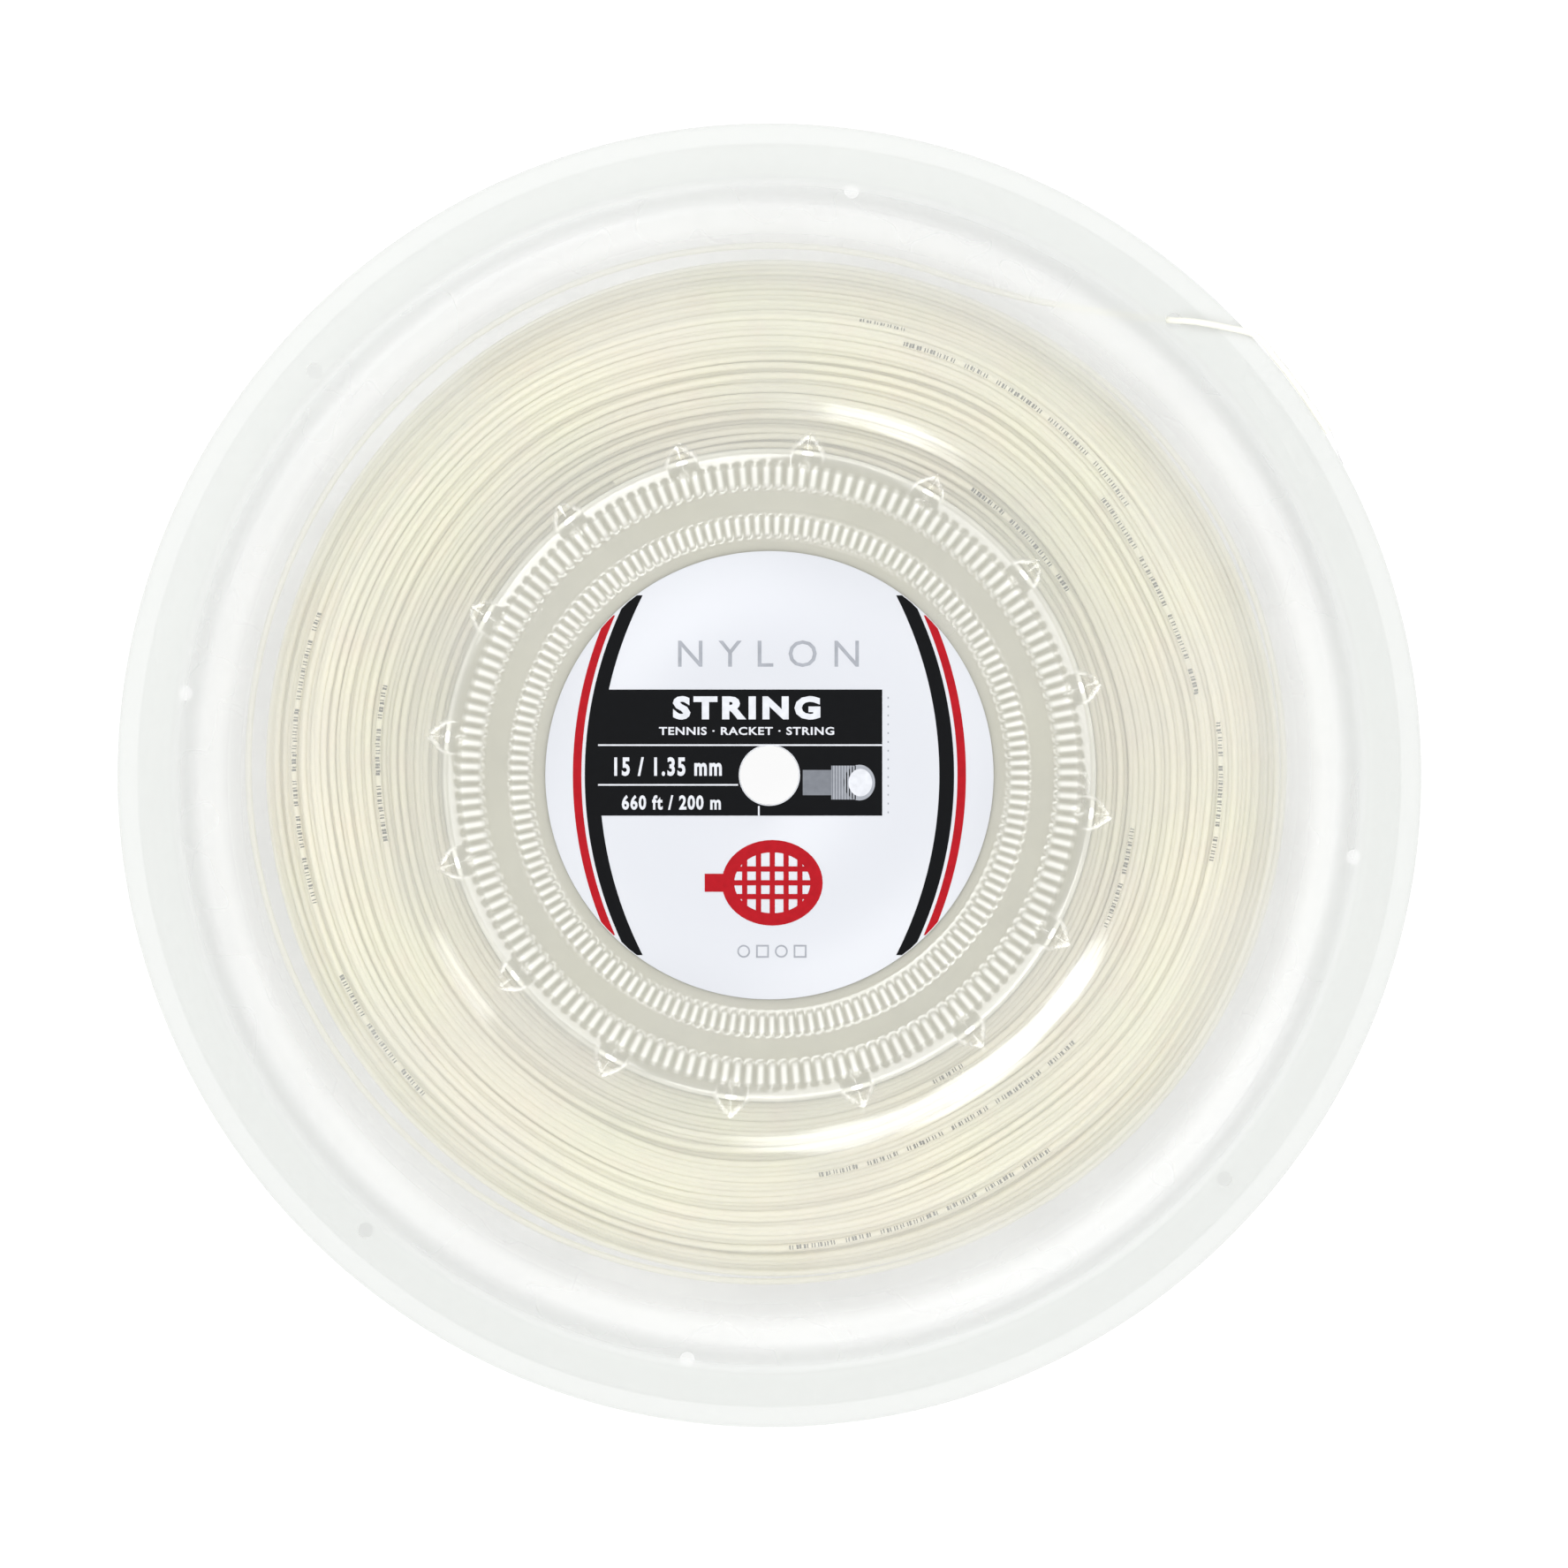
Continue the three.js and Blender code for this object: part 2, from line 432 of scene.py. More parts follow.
def flute_tree() -> bpy.types.NodeTree:
    """Tree that presses a ring of radial flutes into a sheet turned about Z.

    Returns:
        The tree, with inputs Flutes, Depth, Inner, Outer, Ease and Material. It adds to the points'
        attribute rib, 1 on a rib and 0 between ribs and elsewhere.
    """
    sizes = {"Flutes": 160.0, "Depth": 0.0005, "Inner": 0.05, "Outer": 0.06, "Ease": 0.0006}
    tree, given = geometry_tree("press_flutes", {k: ("NodeSocketFloat", v) for k, v in sizes.items()})
    here = add_node(tree, "GeometryNodeInputPosition")
    x, y, _ = add_node(tree, "ShaderNodeSeparateXYZ", inputs={0: here}).outputs
    radius = off_axis(tree, here)
    angle = add_node(tree, "ShaderNodeMath", {"operation": "ARCTAN2"}, {0: y, 1: x})
    phase = add_node(tree, "ShaderNodeMath", TIMES, {0: angle, 1: given.outputs["Flutes"]})
    wave = add_node(tree, "ShaderNodeMath", {"operation": "SINE"}, {0: phase})
    steep = add_node(tree, "ShaderNodeMath", TIMES, {0: wave, 1: 1.6})
    crest = add_node(tree, "ShaderNodeMath", {"operation": "TANH"}, {0: steep})
    fades = []
    for edge, sign in ((given.outputs["Inner"], 1.0), (given.outputs["Outer"], -1.0)):
        far = add_node(tree, "ShaderNodeMath", TIMES_ADD, {0: given.outputs["Ease"], 1: sign, 2: edge})
        fade = {"Value": radius, "From Min": edge, "From Max": far}
        fades.append(add_node(tree, "ShaderNodeMapRange", SMOOTH, fade))
    window = add_node(tree, "ShaderNodeMath", TIMES, {0: fades[0], 1: fades[1]})
    pressed = add_node(tree, "ShaderNodeMath", TIMES, {0: window, 1: crest})
    lift = add_node(tree, "ShaderNodeMath", TIMES, {0: pressed, 1: given.outputs["Depth"]})
    offset = add_node(tree, "ShaderNodeCombineXYZ", inputs={2: lift})
    feed = {"Geometry": given.outputs["Geometry"], "Offset": offset}
    moved = add_node(tree, "GeometryNodeSetPosition", inputs=feed)
    known = add_node(tree, "GeometryNodeInputNamedAttribute", {"data_type": "FLOAT"}, {"Name": "rib"})
    # rib tops are stored for the material to whiten: partly stretch whitening, partly painted highlight
    drawn = add_node(tree, "ShaderNodeMath", {"operation": "ADD"}, {0: window, 1: pressed})
    ribs = add_node(tree, "ShaderNodeMath", TIMES_ADD, {0: drawn, 1: 0.5, 2: known.outputs["Attribute"]})
    stored = {"Geometry": moved, "Name": "rib", "Value": ribs}
    on_points = {"data_type": "FLOAT", "domain": "POINT"}
    return end_tree(tree, given, add_node(tree, "GeometryNodeStoreNamedAttribute", on_points, stored))


# ---------------------------------------------------------------- finishes


def new_material(name: str) -> tuple[bpy.types.Material, bpy.types.NodeTree]:
    """Start a material with an empty node tree.

    Args:
        name: The material's name.

    Returns:
        The material and its tree.
    """
    material = bpy.data.materials.new(name)
    material.use_nodes = True
    material.node_tree.nodes.clear()
    return material, material.node_tree


def off_axis(tree: Any, here: Any) -> bpy.types.Node:
    """Distance in metres from the reel's axis.

    Args:
        tree: The tree that takes the nodes.
        here: The node or socket that gives the place.

    Returns:
        The node that gives the distance.
    """
    flat = add_node(tree, "ShaderNodeVectorMath", TIMES, {0: here, 1: (1.0, 1.0, 0.0)})
    return add_node(tree, "ShaderNodeVectorMath", {"operation": "LENGTH"}, {0: flat})


def surface_shine(tree: bpy.types.NodeTree, ior: float) -> bpy.types.Node:
    """Fresnel share of a thin sheet, alike from both of its faces.

    Args:
        tree: The material's tree.
        ior: The sheet's index of refraction.

    Returns:
        The node that gives the share of light that the face mirrors.
    """
    face = add_node(tree, "ShaderNodeNewGeometry")
    sign = add_node(tree, "ShaderNodeMath", TIMES_ADD, {0: face.outputs["Backfacing"], 1: -2.0, 2: 1.0})
    index = add_node(tree, "ShaderNodeMath", {"operation": "POWER"}, {0: ior, 1: sign})
    return add_node(tree, "ShaderNodeFresnel", inputs={"IOR": index})


@dataclass(frozen=True)
class FormedPet:
    """Clear PET sheet, vacuum formed: clear flanges, drawn cloudy where the hub is deepest."""

    name: str = "formed_pet_sheet"
    haze: str = "#cccbc0"  # drawn sheet scatters a little warm grey
    flange_colour: str = "#d9dad8"  # undrawn sheet scatters a neutral grey
    rim_colour: str = "#cdcfcd"  # the thick rim band shows most of it
    stretch_white_and_highlight: str = "#fafaf6"  # ribs are stretched most and turn white, partly real and partly painted highlight; on the gusset edges and hub corner it is painted highlight only
    tint: str = "#fbfbfb"
    rim_tint: str = "#fafafa"  # the rim band is undrawn, so thickest
    flange_haze: float = 0.27
    hub_haze: float = 0.46
    rib_haze_and_highlight: float = 0.5  # added on a rib, partly stretch whitening and partly painted highlight
    band_haze: float = 0.5  # flat rim band, chilled first and least clear
    edge_haze: float = 0.7
    milk_through: float = 0.45  # share of scattered light that leaves by the other face
    draw_zone: tuple[float, float] = (70.0, 65.5)  # mm radius, where the deep draw begins
    thick_zone: tuple[float, float] = (116.0, 124.0)  # where the sheet reaches its full thickness
    dull_zone: tuple[float, float] = (109.0, 117.0)  # where the stretched step loses its polish
    band_zone: tuple[float, float] = (119.0, 125.0)
    trim_zone: tuple[float, float] = (134.5, 134.98)
    ior: float = 1.575
    roughness: float = 0.1
    step_roughness: float = 0.5
    warp: float = 0.5  # mm, height of the noise that warps reflections

    def build(self) -> bpy.types.Material:
        """Make a see-through sheet whose haze grows towards the hub and at the trimmed edge.

        Returns:
            The material.
        """
        material, tree = new_material(self.name)
        here = add_node(tree, "ShaderNodeTexCoord").outputs["Object"]
        radius = off_axis(tree, here)
        zones: list[Any] = []
        for (start, end), low, high in (
            (self.draw_zone, 0.0, 1.0),
            (self.thick_zone, 0.0, 1.0),
            (self.dull_zone, self.roughness, self.step_roughness),
            (self.band_zone, 0.0, self.band_haze),
            (self.trim_zone, None, self.edge_haze),
        ):
            low = zones[-1] if low is None else low  # the trimmed edge rises from the band's haze
            ends = {"From Min": start * MM, "From Max": end * MM, "To Min": low, "To Max": high}
            zones.append(add_node(tree, "ShaderNodeMapRange", SMOOTH, {"Value": radius, **ends}))
        depth, thickness, polish, _, trimmed = zones
        more_haze = self.hub_haze - self.flange_haze
        drawn = add_node(tree, "ShaderNodeMath", TIMES_ADD, {0: depth, 1: more_haze, 2: self.flange_haze})
        # Chill marks from forming: soft clouds about 25 mm across.
        cloud = add_node(tree, "ShaderNodeTexNoise", inputs={"Vector": here, "Scale": 1 / (25 * MM)})
        spread = {"From Min": 0.3, "From Max": 0.7, "To Min": 0.8, "To Max": 1.2}
        cloudy = add_node(tree, "ShaderNodeMapRange", inputs={"Value": cloud, **spread})
        haze = add_node(tree, "ShaderNodeMath", TIMES, {0: drawn, 1: cloudy})
        # the rib attribute whitens the sheet: stretch whitening and painted highlight on the flutes, painted
        # highlight only along the gusset edges and hub corner
        rib = add_node(tree, "ShaderNodeAttribute", {"attribute_name": "rib"}).outputs["Fac"]
        ribbed = add_node(tree, "ShaderNodeMath", TIMES_ADD, {0: rib, 1: self.rib_haze_and_highlight, 2: haze})
        most = add_node(tree, "ShaderNodeMath", {"operation": "MAXIMUM"}, {0: ribbed, 1: trimmed})
        shade: Any = linear(self.flange_colour)
        for factor, colour in ((depth, self.haze), (thickness, self.rim_colour), (rib, self.stretch_white_and_highlight)):
            shade = add_node(tree, "ShaderNodeMix", COLOUR, {"Factor": factor, "A": shade, "B": linear(colour)})
        feed = {"Factor": thickness, "A": linear(self.tint), "B": linear(self.rim_tint)}
        thick = add_node(tree, "ShaderNodeMix", COLOUR, feed)
        clear = add_node(tree, "ShaderNodeBsdfTransparent", inputs={"Color": thick})
        matt = {"Base Color": shade, "Roughness": 0.5, "Specular IOR Level": 0.0}
        body = add_node(tree, "ShaderNodeBsdfPrincipled", inputs=matt)
        through = add_node(tree, "ShaderNodeBsdfTranslucent", inputs={"Color": shade})
        milk = add_node(tree, "ShaderNodeMixShader", inputs={"Fac": self.milk_through, 1: body, 2: through})
        sheet = add_node(tree, "ShaderNodeMixShader", inputs={"Fac": most, 1: clear, 2: milk})
        # Formed sheet is never quite flat: shallow waves about 30 mm long bend its reflections.
        feed = {"Vector": here, "Scale": 1 / (30 * MM), "Detail": 1.0}
        wave = add_node(tree, "ShaderNodeTexNoise", inputs=feed)
        bend = {"Strength": 1.0, "Distance": self.warp * MM, "Height": wave}
        warp = add_node(tree, "ShaderNodeBump", inputs=bend)
        mirror = {"Color": WHITE_LIGHT, "Roughness": polish, "Normal": warp}
        gloss = add_node(tree, "ShaderNodeBsdfGlossy", inputs=mirror)
        shine = surface_shine(tree, self.ior)
        coat = add_node(tree, "ShaderNodeMixShader", inputs={"Fac": shine, 1: sheet, 2: gloss})
        add_node(tree, "ShaderNodeOutputMaterial", inputs={"Surface": coat})
        return material


@dataclass(frozen=True)
class CoatedNylon:
    """Natural nylon multifilament under a clear smooth coat: pale, light passes deep into it."""

    name: str = "coated_nylon_string"
    pale: str = "#fffae6"
    green: str = "#fdfbe3"
    warm: str = "#fff6e2"
    glow: str = "#fffef6"  # light that comes through it turns cream
    backlit_white: str = "#eeeeea"  # painted light: a single turn is painted whiter, standing for the white table's light showing through it
    roughness: float = 0.35
    ior: float = 1.53
    coat_shine: float = 0.35
    through_share: float = 0.22
    see_through: float = 0.12  # light that passes each face unscattered
    thin_see_through: float = 0.5  # the same in the outermost turns, with white table behind
    thin_zone: tuple[float, float] = (94.0, 109.0)  # mm radius
    backlit_zone: tuple[float, float] = (100.0, 112.0)
    painted_core_shade: float = 0.84  # painted shade: turns beside the core are painted darker, standing for the shade of the hub wall
    painted_shade_zone: tuple[float, float] = (69.0, 85.0)

    def build(self) -> bpy.types.Material:
        """Make a pale translucent string with drifting tints.

        Returns:
            The material.
        """
        material, tree = new_material(self.name)
        here = add_node(tree, "ShaderNodeTexCoord").outputs["Object"]
        radius = off_axis(tree, here)
        # Batches of string dye differ over tens of mm round the reel, and a little over a few mm.
        drift = add_node(tree, "ShaderNodeTexNoise", inputs={"Vector": here, "Scale": 1 / (38 * MM)})
        feed = {"Vector": here, "Scale": 1 / (6 * MM), "Detail": 3.0}
        fine = add_node(tree, "ShaderNodeTexNoise", inputs=feed)
        feed = {"Value": drift, "From Min": 0.38, "From Max": 0.62}
        tint = add_node(tree, "ShaderNodeMapRange", inputs=feed)
        feed = {"Value": fine, "From Min": 0.5, "From Max": 0.75, "To Max": 0.7}
        warmth = add_node(tree, "ShaderNodeMapRange", inputs=feed)
        zones = []
        for (start, end), low, high, ease in (
            (self.painted_shade_zone, self.painted_core_shade, 1.0, {}),
            (self.backlit_zone, 0.0, 1.0, SMOOTH),
            (self.thin_zone, self.see_through, self.thin_see_through, SMOOTH),
        ):
            ends = {"From Min": start * MM, "From Max": end * MM, "To Min": low, "To Max": high}
            zones.append(add_node(tree, "ShaderNodeMapRange", ease, {"Value": radius, **ends}))
        depth, backlit, thin = zones
        shade: Any = linear(self.green)
        # painted light: the outer turns and the loose end are painted whiter, where the table's light shows
        # through a single turn
        for factor, colour in ((tint, self.pale), (warmth, self.warm), (backlit, self.backlit_white)):
            shade = add_node(tree, "ShaderNodeMix", COLOUR, {"Factor": factor, "A": shade, "B": linear(colour)})
        # painted shade: the colour is darkened towards the core, where the hub wall shades the inner turns
        shade = add_node(tree, "ShaderNodeVectorMath", {"operation": "SCALE"}, {0: shade, "Scale": depth})
        coat = {"Roughness": self.roughness, "IOR": self.ior, "Specular IOR Level": self.coat_shine}
        body = add_node(tree, "ShaderNodeBsdfPrincipled", inputs={"Base Color": shade, **coat})
        through = add_node(tree, "ShaderNodeBsdfTranslucent", inputs={"Color": shade})
        feed = {"Fac": self.through_share, 1: body, 2: through}
        mixed = add_node(tree, "ShaderNodeMixShader", inputs=feed)
        clear = add_node(tree, "ShaderNodeBsdfTransparent", inputs={"Color": linear(self.glow)})
        string = add_node(tree, "ShaderNodeMixShader", inputs={"Fac": thin, 1: mixed, 2: clear})
        add_node(tree, "ShaderNodeOutputMaterial", inputs={"Surface": string})
        return material


@dataclass(frozen=True)
class CoatedCard:
    """White card with a satin print coating: cool white, hardly any grain."""

    name: str = "coated_label_card"
    colour: str = "#acaeb3"

    def build(self) -> bpy.types.Material:
        """Make cool white satin card with a faint fibre grain.

        Returns:
            The material.
        """
        material, tree = new_material(self.name)
        here = add_node(tree, "ShaderNodeTexCoord").outputs["Object"]
        # Paper fibre is about 0.05 mm; drawn at 0.4 mm so that it shows.
        fibre = add_node(tree, "ShaderNodeTexNoise", inputs={"Vector": here, "Scale": 1 / (0.4 * MM)})
        grain = {"Strength": 0.06, "Distance": 0.02 * MM, "Height": fibre}
        lift = add_node(tree, "ShaderNodeBump", inputs=grain)
        feed = {"Value": fibre, "To Min": 0.34, "To Max": 0.46}
        sheen = add_node(tree, "ShaderNodeMapRange", inputs=feed)
        card = {"Base Color": linear(self.colour), "Roughness": sheen, "Normal": lift}
        body = add_node(tree, "ShaderNodeBsdfPrincipled", inputs=card)
        add_node(tree, "ShaderNodeOutputMaterial", inputs={"Surface": body})
        return material


@dataclass(frozen=True)
class PrintInk:
    """Offset ink on coated card or on string: flat colour with slight mottle."""

    tone: InkTone
    roughness: float = 0.5
    shine: float = 0.06

    def build(self) -> bpy.types.Material:
        """Make ink whose density drifts by a few percent.

        Returns:
            The material.
        """
        material, tree = new_material(f"offset_ink_{self.tone.name.lower()}")
        here = add_node(tree, "ShaderNodeTexCoord").outputs["Object"]
        mottle = add_node(tree, "ShaderNodeTexNoise", inputs={"Vector": here, "Scale": 1 / (1.5 * MM)})
        spread = {"From Min": 0.3, "From Max": 0.7, "To Min": 0.94, "To Max": 1.08}
        density = add_node(tree, "ShaderNodeMapRange", inputs={"Value": mottle, **spread})
        feed = {0: linear(self.tone.value)[:3], "Scale": density}
        colour = add_node(tree, "ShaderNodeVectorMath", {"operation": "SCALE"}, feed)
        ink = {"Base Color": colour, "Roughness": self.roughness, "Specular IOR Level": self.shine}
        body = add_node(tree, "ShaderNodeBsdfPrincipled", inputs=ink)
        add_node(tree, "ShaderNodeOutputMaterial", inputs={"Surface": body})
        return material


@dataclass(frozen=True)
class CloudyFilm:
    """A thin see-through film or strip: adhesive tape, glue or milky plastic."""

    name: str
    colour: str
    cover: float
    roughness: float
    wrinkle: float = 0.0  # mm, spacing of its wrinkles; 0 for none
    ior: float = 1.49

    def build(self) -> bpy.types.Material:
        """Make a film that scatters some light and lets the rest through.

        Returns:
            The material.
        """
        material, tree = new_material(self.name)
        here = add_node(tree, "ShaderNodeTexCoord").outputs["Object"]
        cloud = add_node(tree, "ShaderNodeTexNoise", inputs={"Vector": here, "Scale": 1 / (4 * MM)})
        spread = {"From Min": 0.3, "From Max": 0.7}
        spread.update({"To Min": 0.8 * self.cover, "To Max": min(1.2 * self.cover, 1.0)})
        cover = add_node(tree, "ShaderNodeMapRange", inputs={"Value": cloud, **spread})
        matt: dict[str | int, Any] = {"Base Color": linear(self.colour), "IOR": self.ior}
        matt["Roughness"] = self.roughness
        mirror: dict[str | int, Any] = {"Color": WHITE_LIGHT, "Roughness": self.roughness}
        if self.wrinkle:
            feed = {"Vector": here, "Scale": 1 / (self.wrinkle * MM), "Detail": 1.0}
            crease = add_node(tree, "ShaderNodeTexNoise", inputs=feed)
            raised = {"Strength": 0.5, "Distance": 0.3 * MM, "Height": crease}
            matt["Normal"] = mirror["Normal"] = add_node(tree, "ShaderNodeBump", inputs=raised)
        body = add_node(tree, "ShaderNodeBsdfPrincipled", inputs=matt)
        gloss = add_node(tree, "ShaderNodeBsdfGlossy", inputs=mirror)
        clear = add_node(tree, "ShaderNodeBsdfTransparent", inputs={"Color": WHITE_LIGHT})
        sheet = add_node(tree, "ShaderNodeMixShader", inputs={"Fac": cover, 1: clear, 2: body})
        shine = surface_shine(tree, self.ior)
        coat = add_node(tree, "ShaderNodeMixShader", inputs={"Fac": shine, 1: sheet, 2: gloss})
        add_node(tree, "ShaderNodeOutputMaterial", inputs={"Surface": coat})
        return material


@dataclass(frozen=True)
class StudioFloor:
    """White acrylic table, lit from below as well as from above."""

    name: str = "white_acrylic_table"
    colour: str = "#5c5c5c"  # only the glow shows; a pale diffuser has little shadow
    glow: float = 0.93

    def build(self) -> bpy.types.Material:
        """Make a matt white that glows softly.

        Returns:
            The material.
        """
        material, tree = new_material(self.name)
        matt = {"Base Color": linear(self.colour), "Roughness": 0.9, "Specular IOR Level": 0.0}
        light = {"Emission Color": WHITE_LIGHT, "Emission Strength": self.glow}
        body = add_node(tree, "ShaderNodeBsdfPrincipled", inputs={**matt, **light})
        add_node(tree, "ShaderNodeOutputMaterial", inputs={"Surface": body})
        return material


# ---------------------------------------------------------------- formed shells


@dataclass
class FormedShell:
    """One vacuum-formed shell: rim band, step, dished flange, gusseted hub corner, two fluted risers, floor.

    Radii and heights are in mm; heights are above the plane between the two shells.
    """

    side: Side
    rim: float
    half: float  # rim plane above the middle plane
    hole_radius: float = 6.2
    flutes: int = 160
    flute_depth: float = 0.42
    flute_ease: float = 0.8
    gussets: int = 16
    gusset_angle: float = 15.7
    gusset_depth: float = 1.9
    gusset_rise: tuple[float, float] = (71.9, 67.7)  # radii over which a gusset widens and deepens
    gusset_end: tuple[float, float] = (63.3, 65.9)  # radii over which it runs out on the riser
    gusset_half: tuple[float, float] = (0.6, 2.6)  # its half width at the tip, and what it gains
    gusset_edge_highlight: float = 0.28  # painted highlight along the gussets' edges
    hub_corner_highlight: float = 0.15  # and painted highlight along the hub corner
    rim_rounding: float = 2.2  # of the section's corners at the step
    hub_rounding: float = 0.6
    tail_hole_angle: float = 48.4
    tail_hole_circle: float = 126.0
    tail_hole_radius: float = 1.6
    coarse: int = 320  # steps round the flange
    fine: int = 1280  # steps round the hub, eight to a flute
    riser_1: tuple[float, float] = (60.1, 65.1)
    riser_2: tuple[float, float] = (50.1, 54.6)
    line: list[tuple[float, float]] = field(default_factory=list)

    def __post_init__(self) -> None:
        """Fill in the section line from rim to centre."""
        high = self.half
        self.line = [
            (self.rim, high), (122.3, high), (118.6, 16.0), (81.4, 13.2), (80.2, 13.02), (73.6, 11.45),
            (70.9, 11.1), (67.5, 11.35), (65.1, 10.2), (60.1, 5.6), (54.6, 5.4), (50.1, 1.6), (49.2, 1.4),
            (self.hole_radius, 1.4),
        ]

    def section(self, radius: np.ndarray) -> np.ndarray:
        """Height of the sharp section line at radii in mm."""
        return np.interp(radius, [r for r, _ in reversed(self.line)], [z for _, z in reversed(self.line)])

    def height(self, radius: float) -> float:
        """Height of the outer surface, its corners rounded, most of all at the step.

        Args:
            radius: Radius in mm.

        Returns:
            Height in mm above the middle plane.
        """
        rounding = self.rim_rounding if radius > 100 else self.hub_rounding
        return float(self.section(np.linspace(radius - rounding, radius + rounding, 15)).mean())

    def rings(self) -> tuple[list[float], list[float], list[float]]:
        """Radii of the outer coarse zone, the fine zone and the inner coarse zone."""
        outer = [self.rim, self.rim - 0.25, self.rim - 1.0, 131.0, 127.0, 124.0]
        outer += list(np.linspace(123.2, 117.4, 11))
        outer += [114.0, 108.0, 102.0, 96.0, 91.0, 87.0, 84.9, 82.9, 81.4, 79.9, 78.0, 75.5, 73.5]
        fine = [72.1, 71.1, 70.1, 69.1, 68.3, 67.6, 66.9, 66.1, 65.4, 64.8, 64.2, 63.3, 62.2, 61.3]
        fine += [60.6, 60.0, 59.3, 58.0, 55.8, 55.0, 54.4, 53.8, 53.0, 51.8, 50.9, 50.3, 49.7, 49.0]
        inner = [48.2, 46.6, 38.0, 28.0, 16.0, 8.0, self.hole_radius]
        return outer, fine, inner

    def sheet(self, name: str) -> bpy.types.Object:
        """The outer surface as one open sheet, gussets pressed in.

        Args:
            name: The object's name.

        Returns:
            The sheet, about the middle plane of the row, facing up.
        """
        outer, fine, inner = self.rings()
        plan = [(r, self.coarse) for r in outer]
        plan += [(r, self.fine) for r in fine]
        plan += [(r, self.coarse) for r in inner]
        points: list[np.ndarray] = []
        painted_highlights: list[np.ndarray] = []
        starts: list[int] = []
        count = 0
        for radius, steps in plan:
            turn = np.arange(steps) * (2 * math.pi / steps)
            height = np.full(steps, self.height(radius)) - self.gusset_dip(radius, turn)
            points.append(np.stack([radius * np.cos(turn), radius * np.sin(turn), height], 1))
            # painted highlight: the gusset edges and the hub corner are whitened where they catch the light
            painted_highlights.append(self.painted_highlight(radius, turn))
            starts.append(count)
            count += steps
        faces: list[tuple[int, ...]] = []
        for k in range(len(plan) - 1):
            faces += self.strip(starts[k], plan[k][1], starts[k + 1], plan[k + 1][1])
        made = mesh_object(name, np.concatenate(points), faces)
        rib = made.data.attributes.new("rib", "FLOAT", "POINT")
        rib.data.foreach_set("value", np.concatenate(painted_highlights))
        return made

    @staticmethod
    def strip(outer: int, outer_steps: int, inner: int, inner_steps: int) -> list[tuple[int, ...]]:
        """Faces between two rings, one of which may have a multiple of the other's steps.

        Args:
            outer: First corner of the outer ring.
            outer_steps: Steps of the outer ring.
            inner: First corner of the inner ring.
            inner_steps: Steps of the inner ring.

        Returns:
            Faces that look up.
        """
        least = min(outer_steps, inner_steps)
        out_each, in_each = outer_steps // least, inner_steps // least
        faces = []
        for k in range(least):
            out_run = [outer + (k * out_each + i) % outer_steps for i in range(out_each + 1)]
            in_run = [inner + (k * in_each + i) % inner_steps for i in range(in_each + 1)]
            faces.append(tuple(out_run + in_run[::-1]))
        return faces

    def from_gusset(self, radius: float, turn: np.ndarray) -> tuple[np.ndarray, float, float]:
        """Where points lie beside the nearest V-shaped gusset.

        Args:
            radius: Radius of the ring in mm.
            turn: Angles of its points.

        Returns:
            Distance from the gusset's middle in mm, its half width here, and 0 to 1 as it begins.
        """
        reach = float(smooth_step(*self.gusset_rise, np.array(radius)))
        pitch = 2 * math.pi / self.gussets
        away = np.abs((turn - math.radians(self.gusset_angle) + pitch / 2) % pitch - pitch / 2) * radius
        return away, self.gusset_half[0] + self.gusset_half[1] * reach, reach

    def gusset_dip(self, radius: float, turn: np.ndarray) -> np.ndarray:
        """How far the V-shaped gussets at the hub corner are pressed in.

        Args:
            radius: Radius of the ring in mm.
            turn: Angles of its points.

        Returns:
            Depth in mm at each point.
        """
        away, half_width, reach = self.from_gusset(radius, turn)
        fade = float(smooth_step(*self.gusset_end, np.array(radius)))
        return self.gusset_depth * reach * fade * np.clip(1 - away / half_width, 0, 1)

    def painted_highlight(self, radius: float, turn: np.ndarray) -> np.ndarray:
        """How much highlight is painted along the hub corner and the edges of its gussets, where they catch the
        light.

        Args:
            radius: Radius of the ring in mm.
            turn: Angles of its points.

        Returns:
            0 to 1 at each point.
        """
        away, half_width, _ = self.from_gusset(radius, turn)
        edge = np.exp(-(((away - half_width) / 0.45) ** 2))
        near = math.exp(-(((radius - 69.0) / 2.2) ** 2))
        corner = math.exp(-(((radius - 67.4) / 0.5) ** 2))
        return np.clip(self.gusset_edge_highlight * edge * near + self.hub_corner_highlight * corner, 0, 1)

    def build(self, press: bpy.types.NodeTree, material: bpy.types.Material) -> bpy.types.Object:
        """Make the finished shell.

        Args:
            press: The tree that presses the flutes.
            material: The sheet's material.

        Returns:
            A closed sheet of even wall with its tail holes, in place.
        """
        made = self.sheet(f"{self.side.value}_formed_shell")
        for inner, outer in (self.riser_1, self.riser_2):
            values = {
                "Flutes": float(self.flutes),
                "Depth": self.flute_depth * MM,
                "Inner": inner * MM,
                "Outer": outer * MM,
                "Ease": self.flute_ease * MM,
                "Material": material,
            }
            run_tree(made, press, values)
        wall = made.modifiers.new("wall", "SOLIDIFY")
        wall.thickness = SHEET * MM
        wall.offset = -1.0
        wall.use_even_offset = False
        drills = self.drills()
        cut = made.modifiers.new("tail_holes", "BOOLEAN")
        cut.operation = "DIFFERENCE"
        cut.solver = "EXACT"
        cut.object = drills
        made = settle(made)
        bpy.data.objects.remove(drills)
        if self.side is Side.BACK:
            made.data.transform(Matrix.Rotation(math.pi, 4, "X"))
        made.data.transform(Matrix.Translation((0, 0, self.half * MM)))
        shade_smooth(made, 40)
        return made

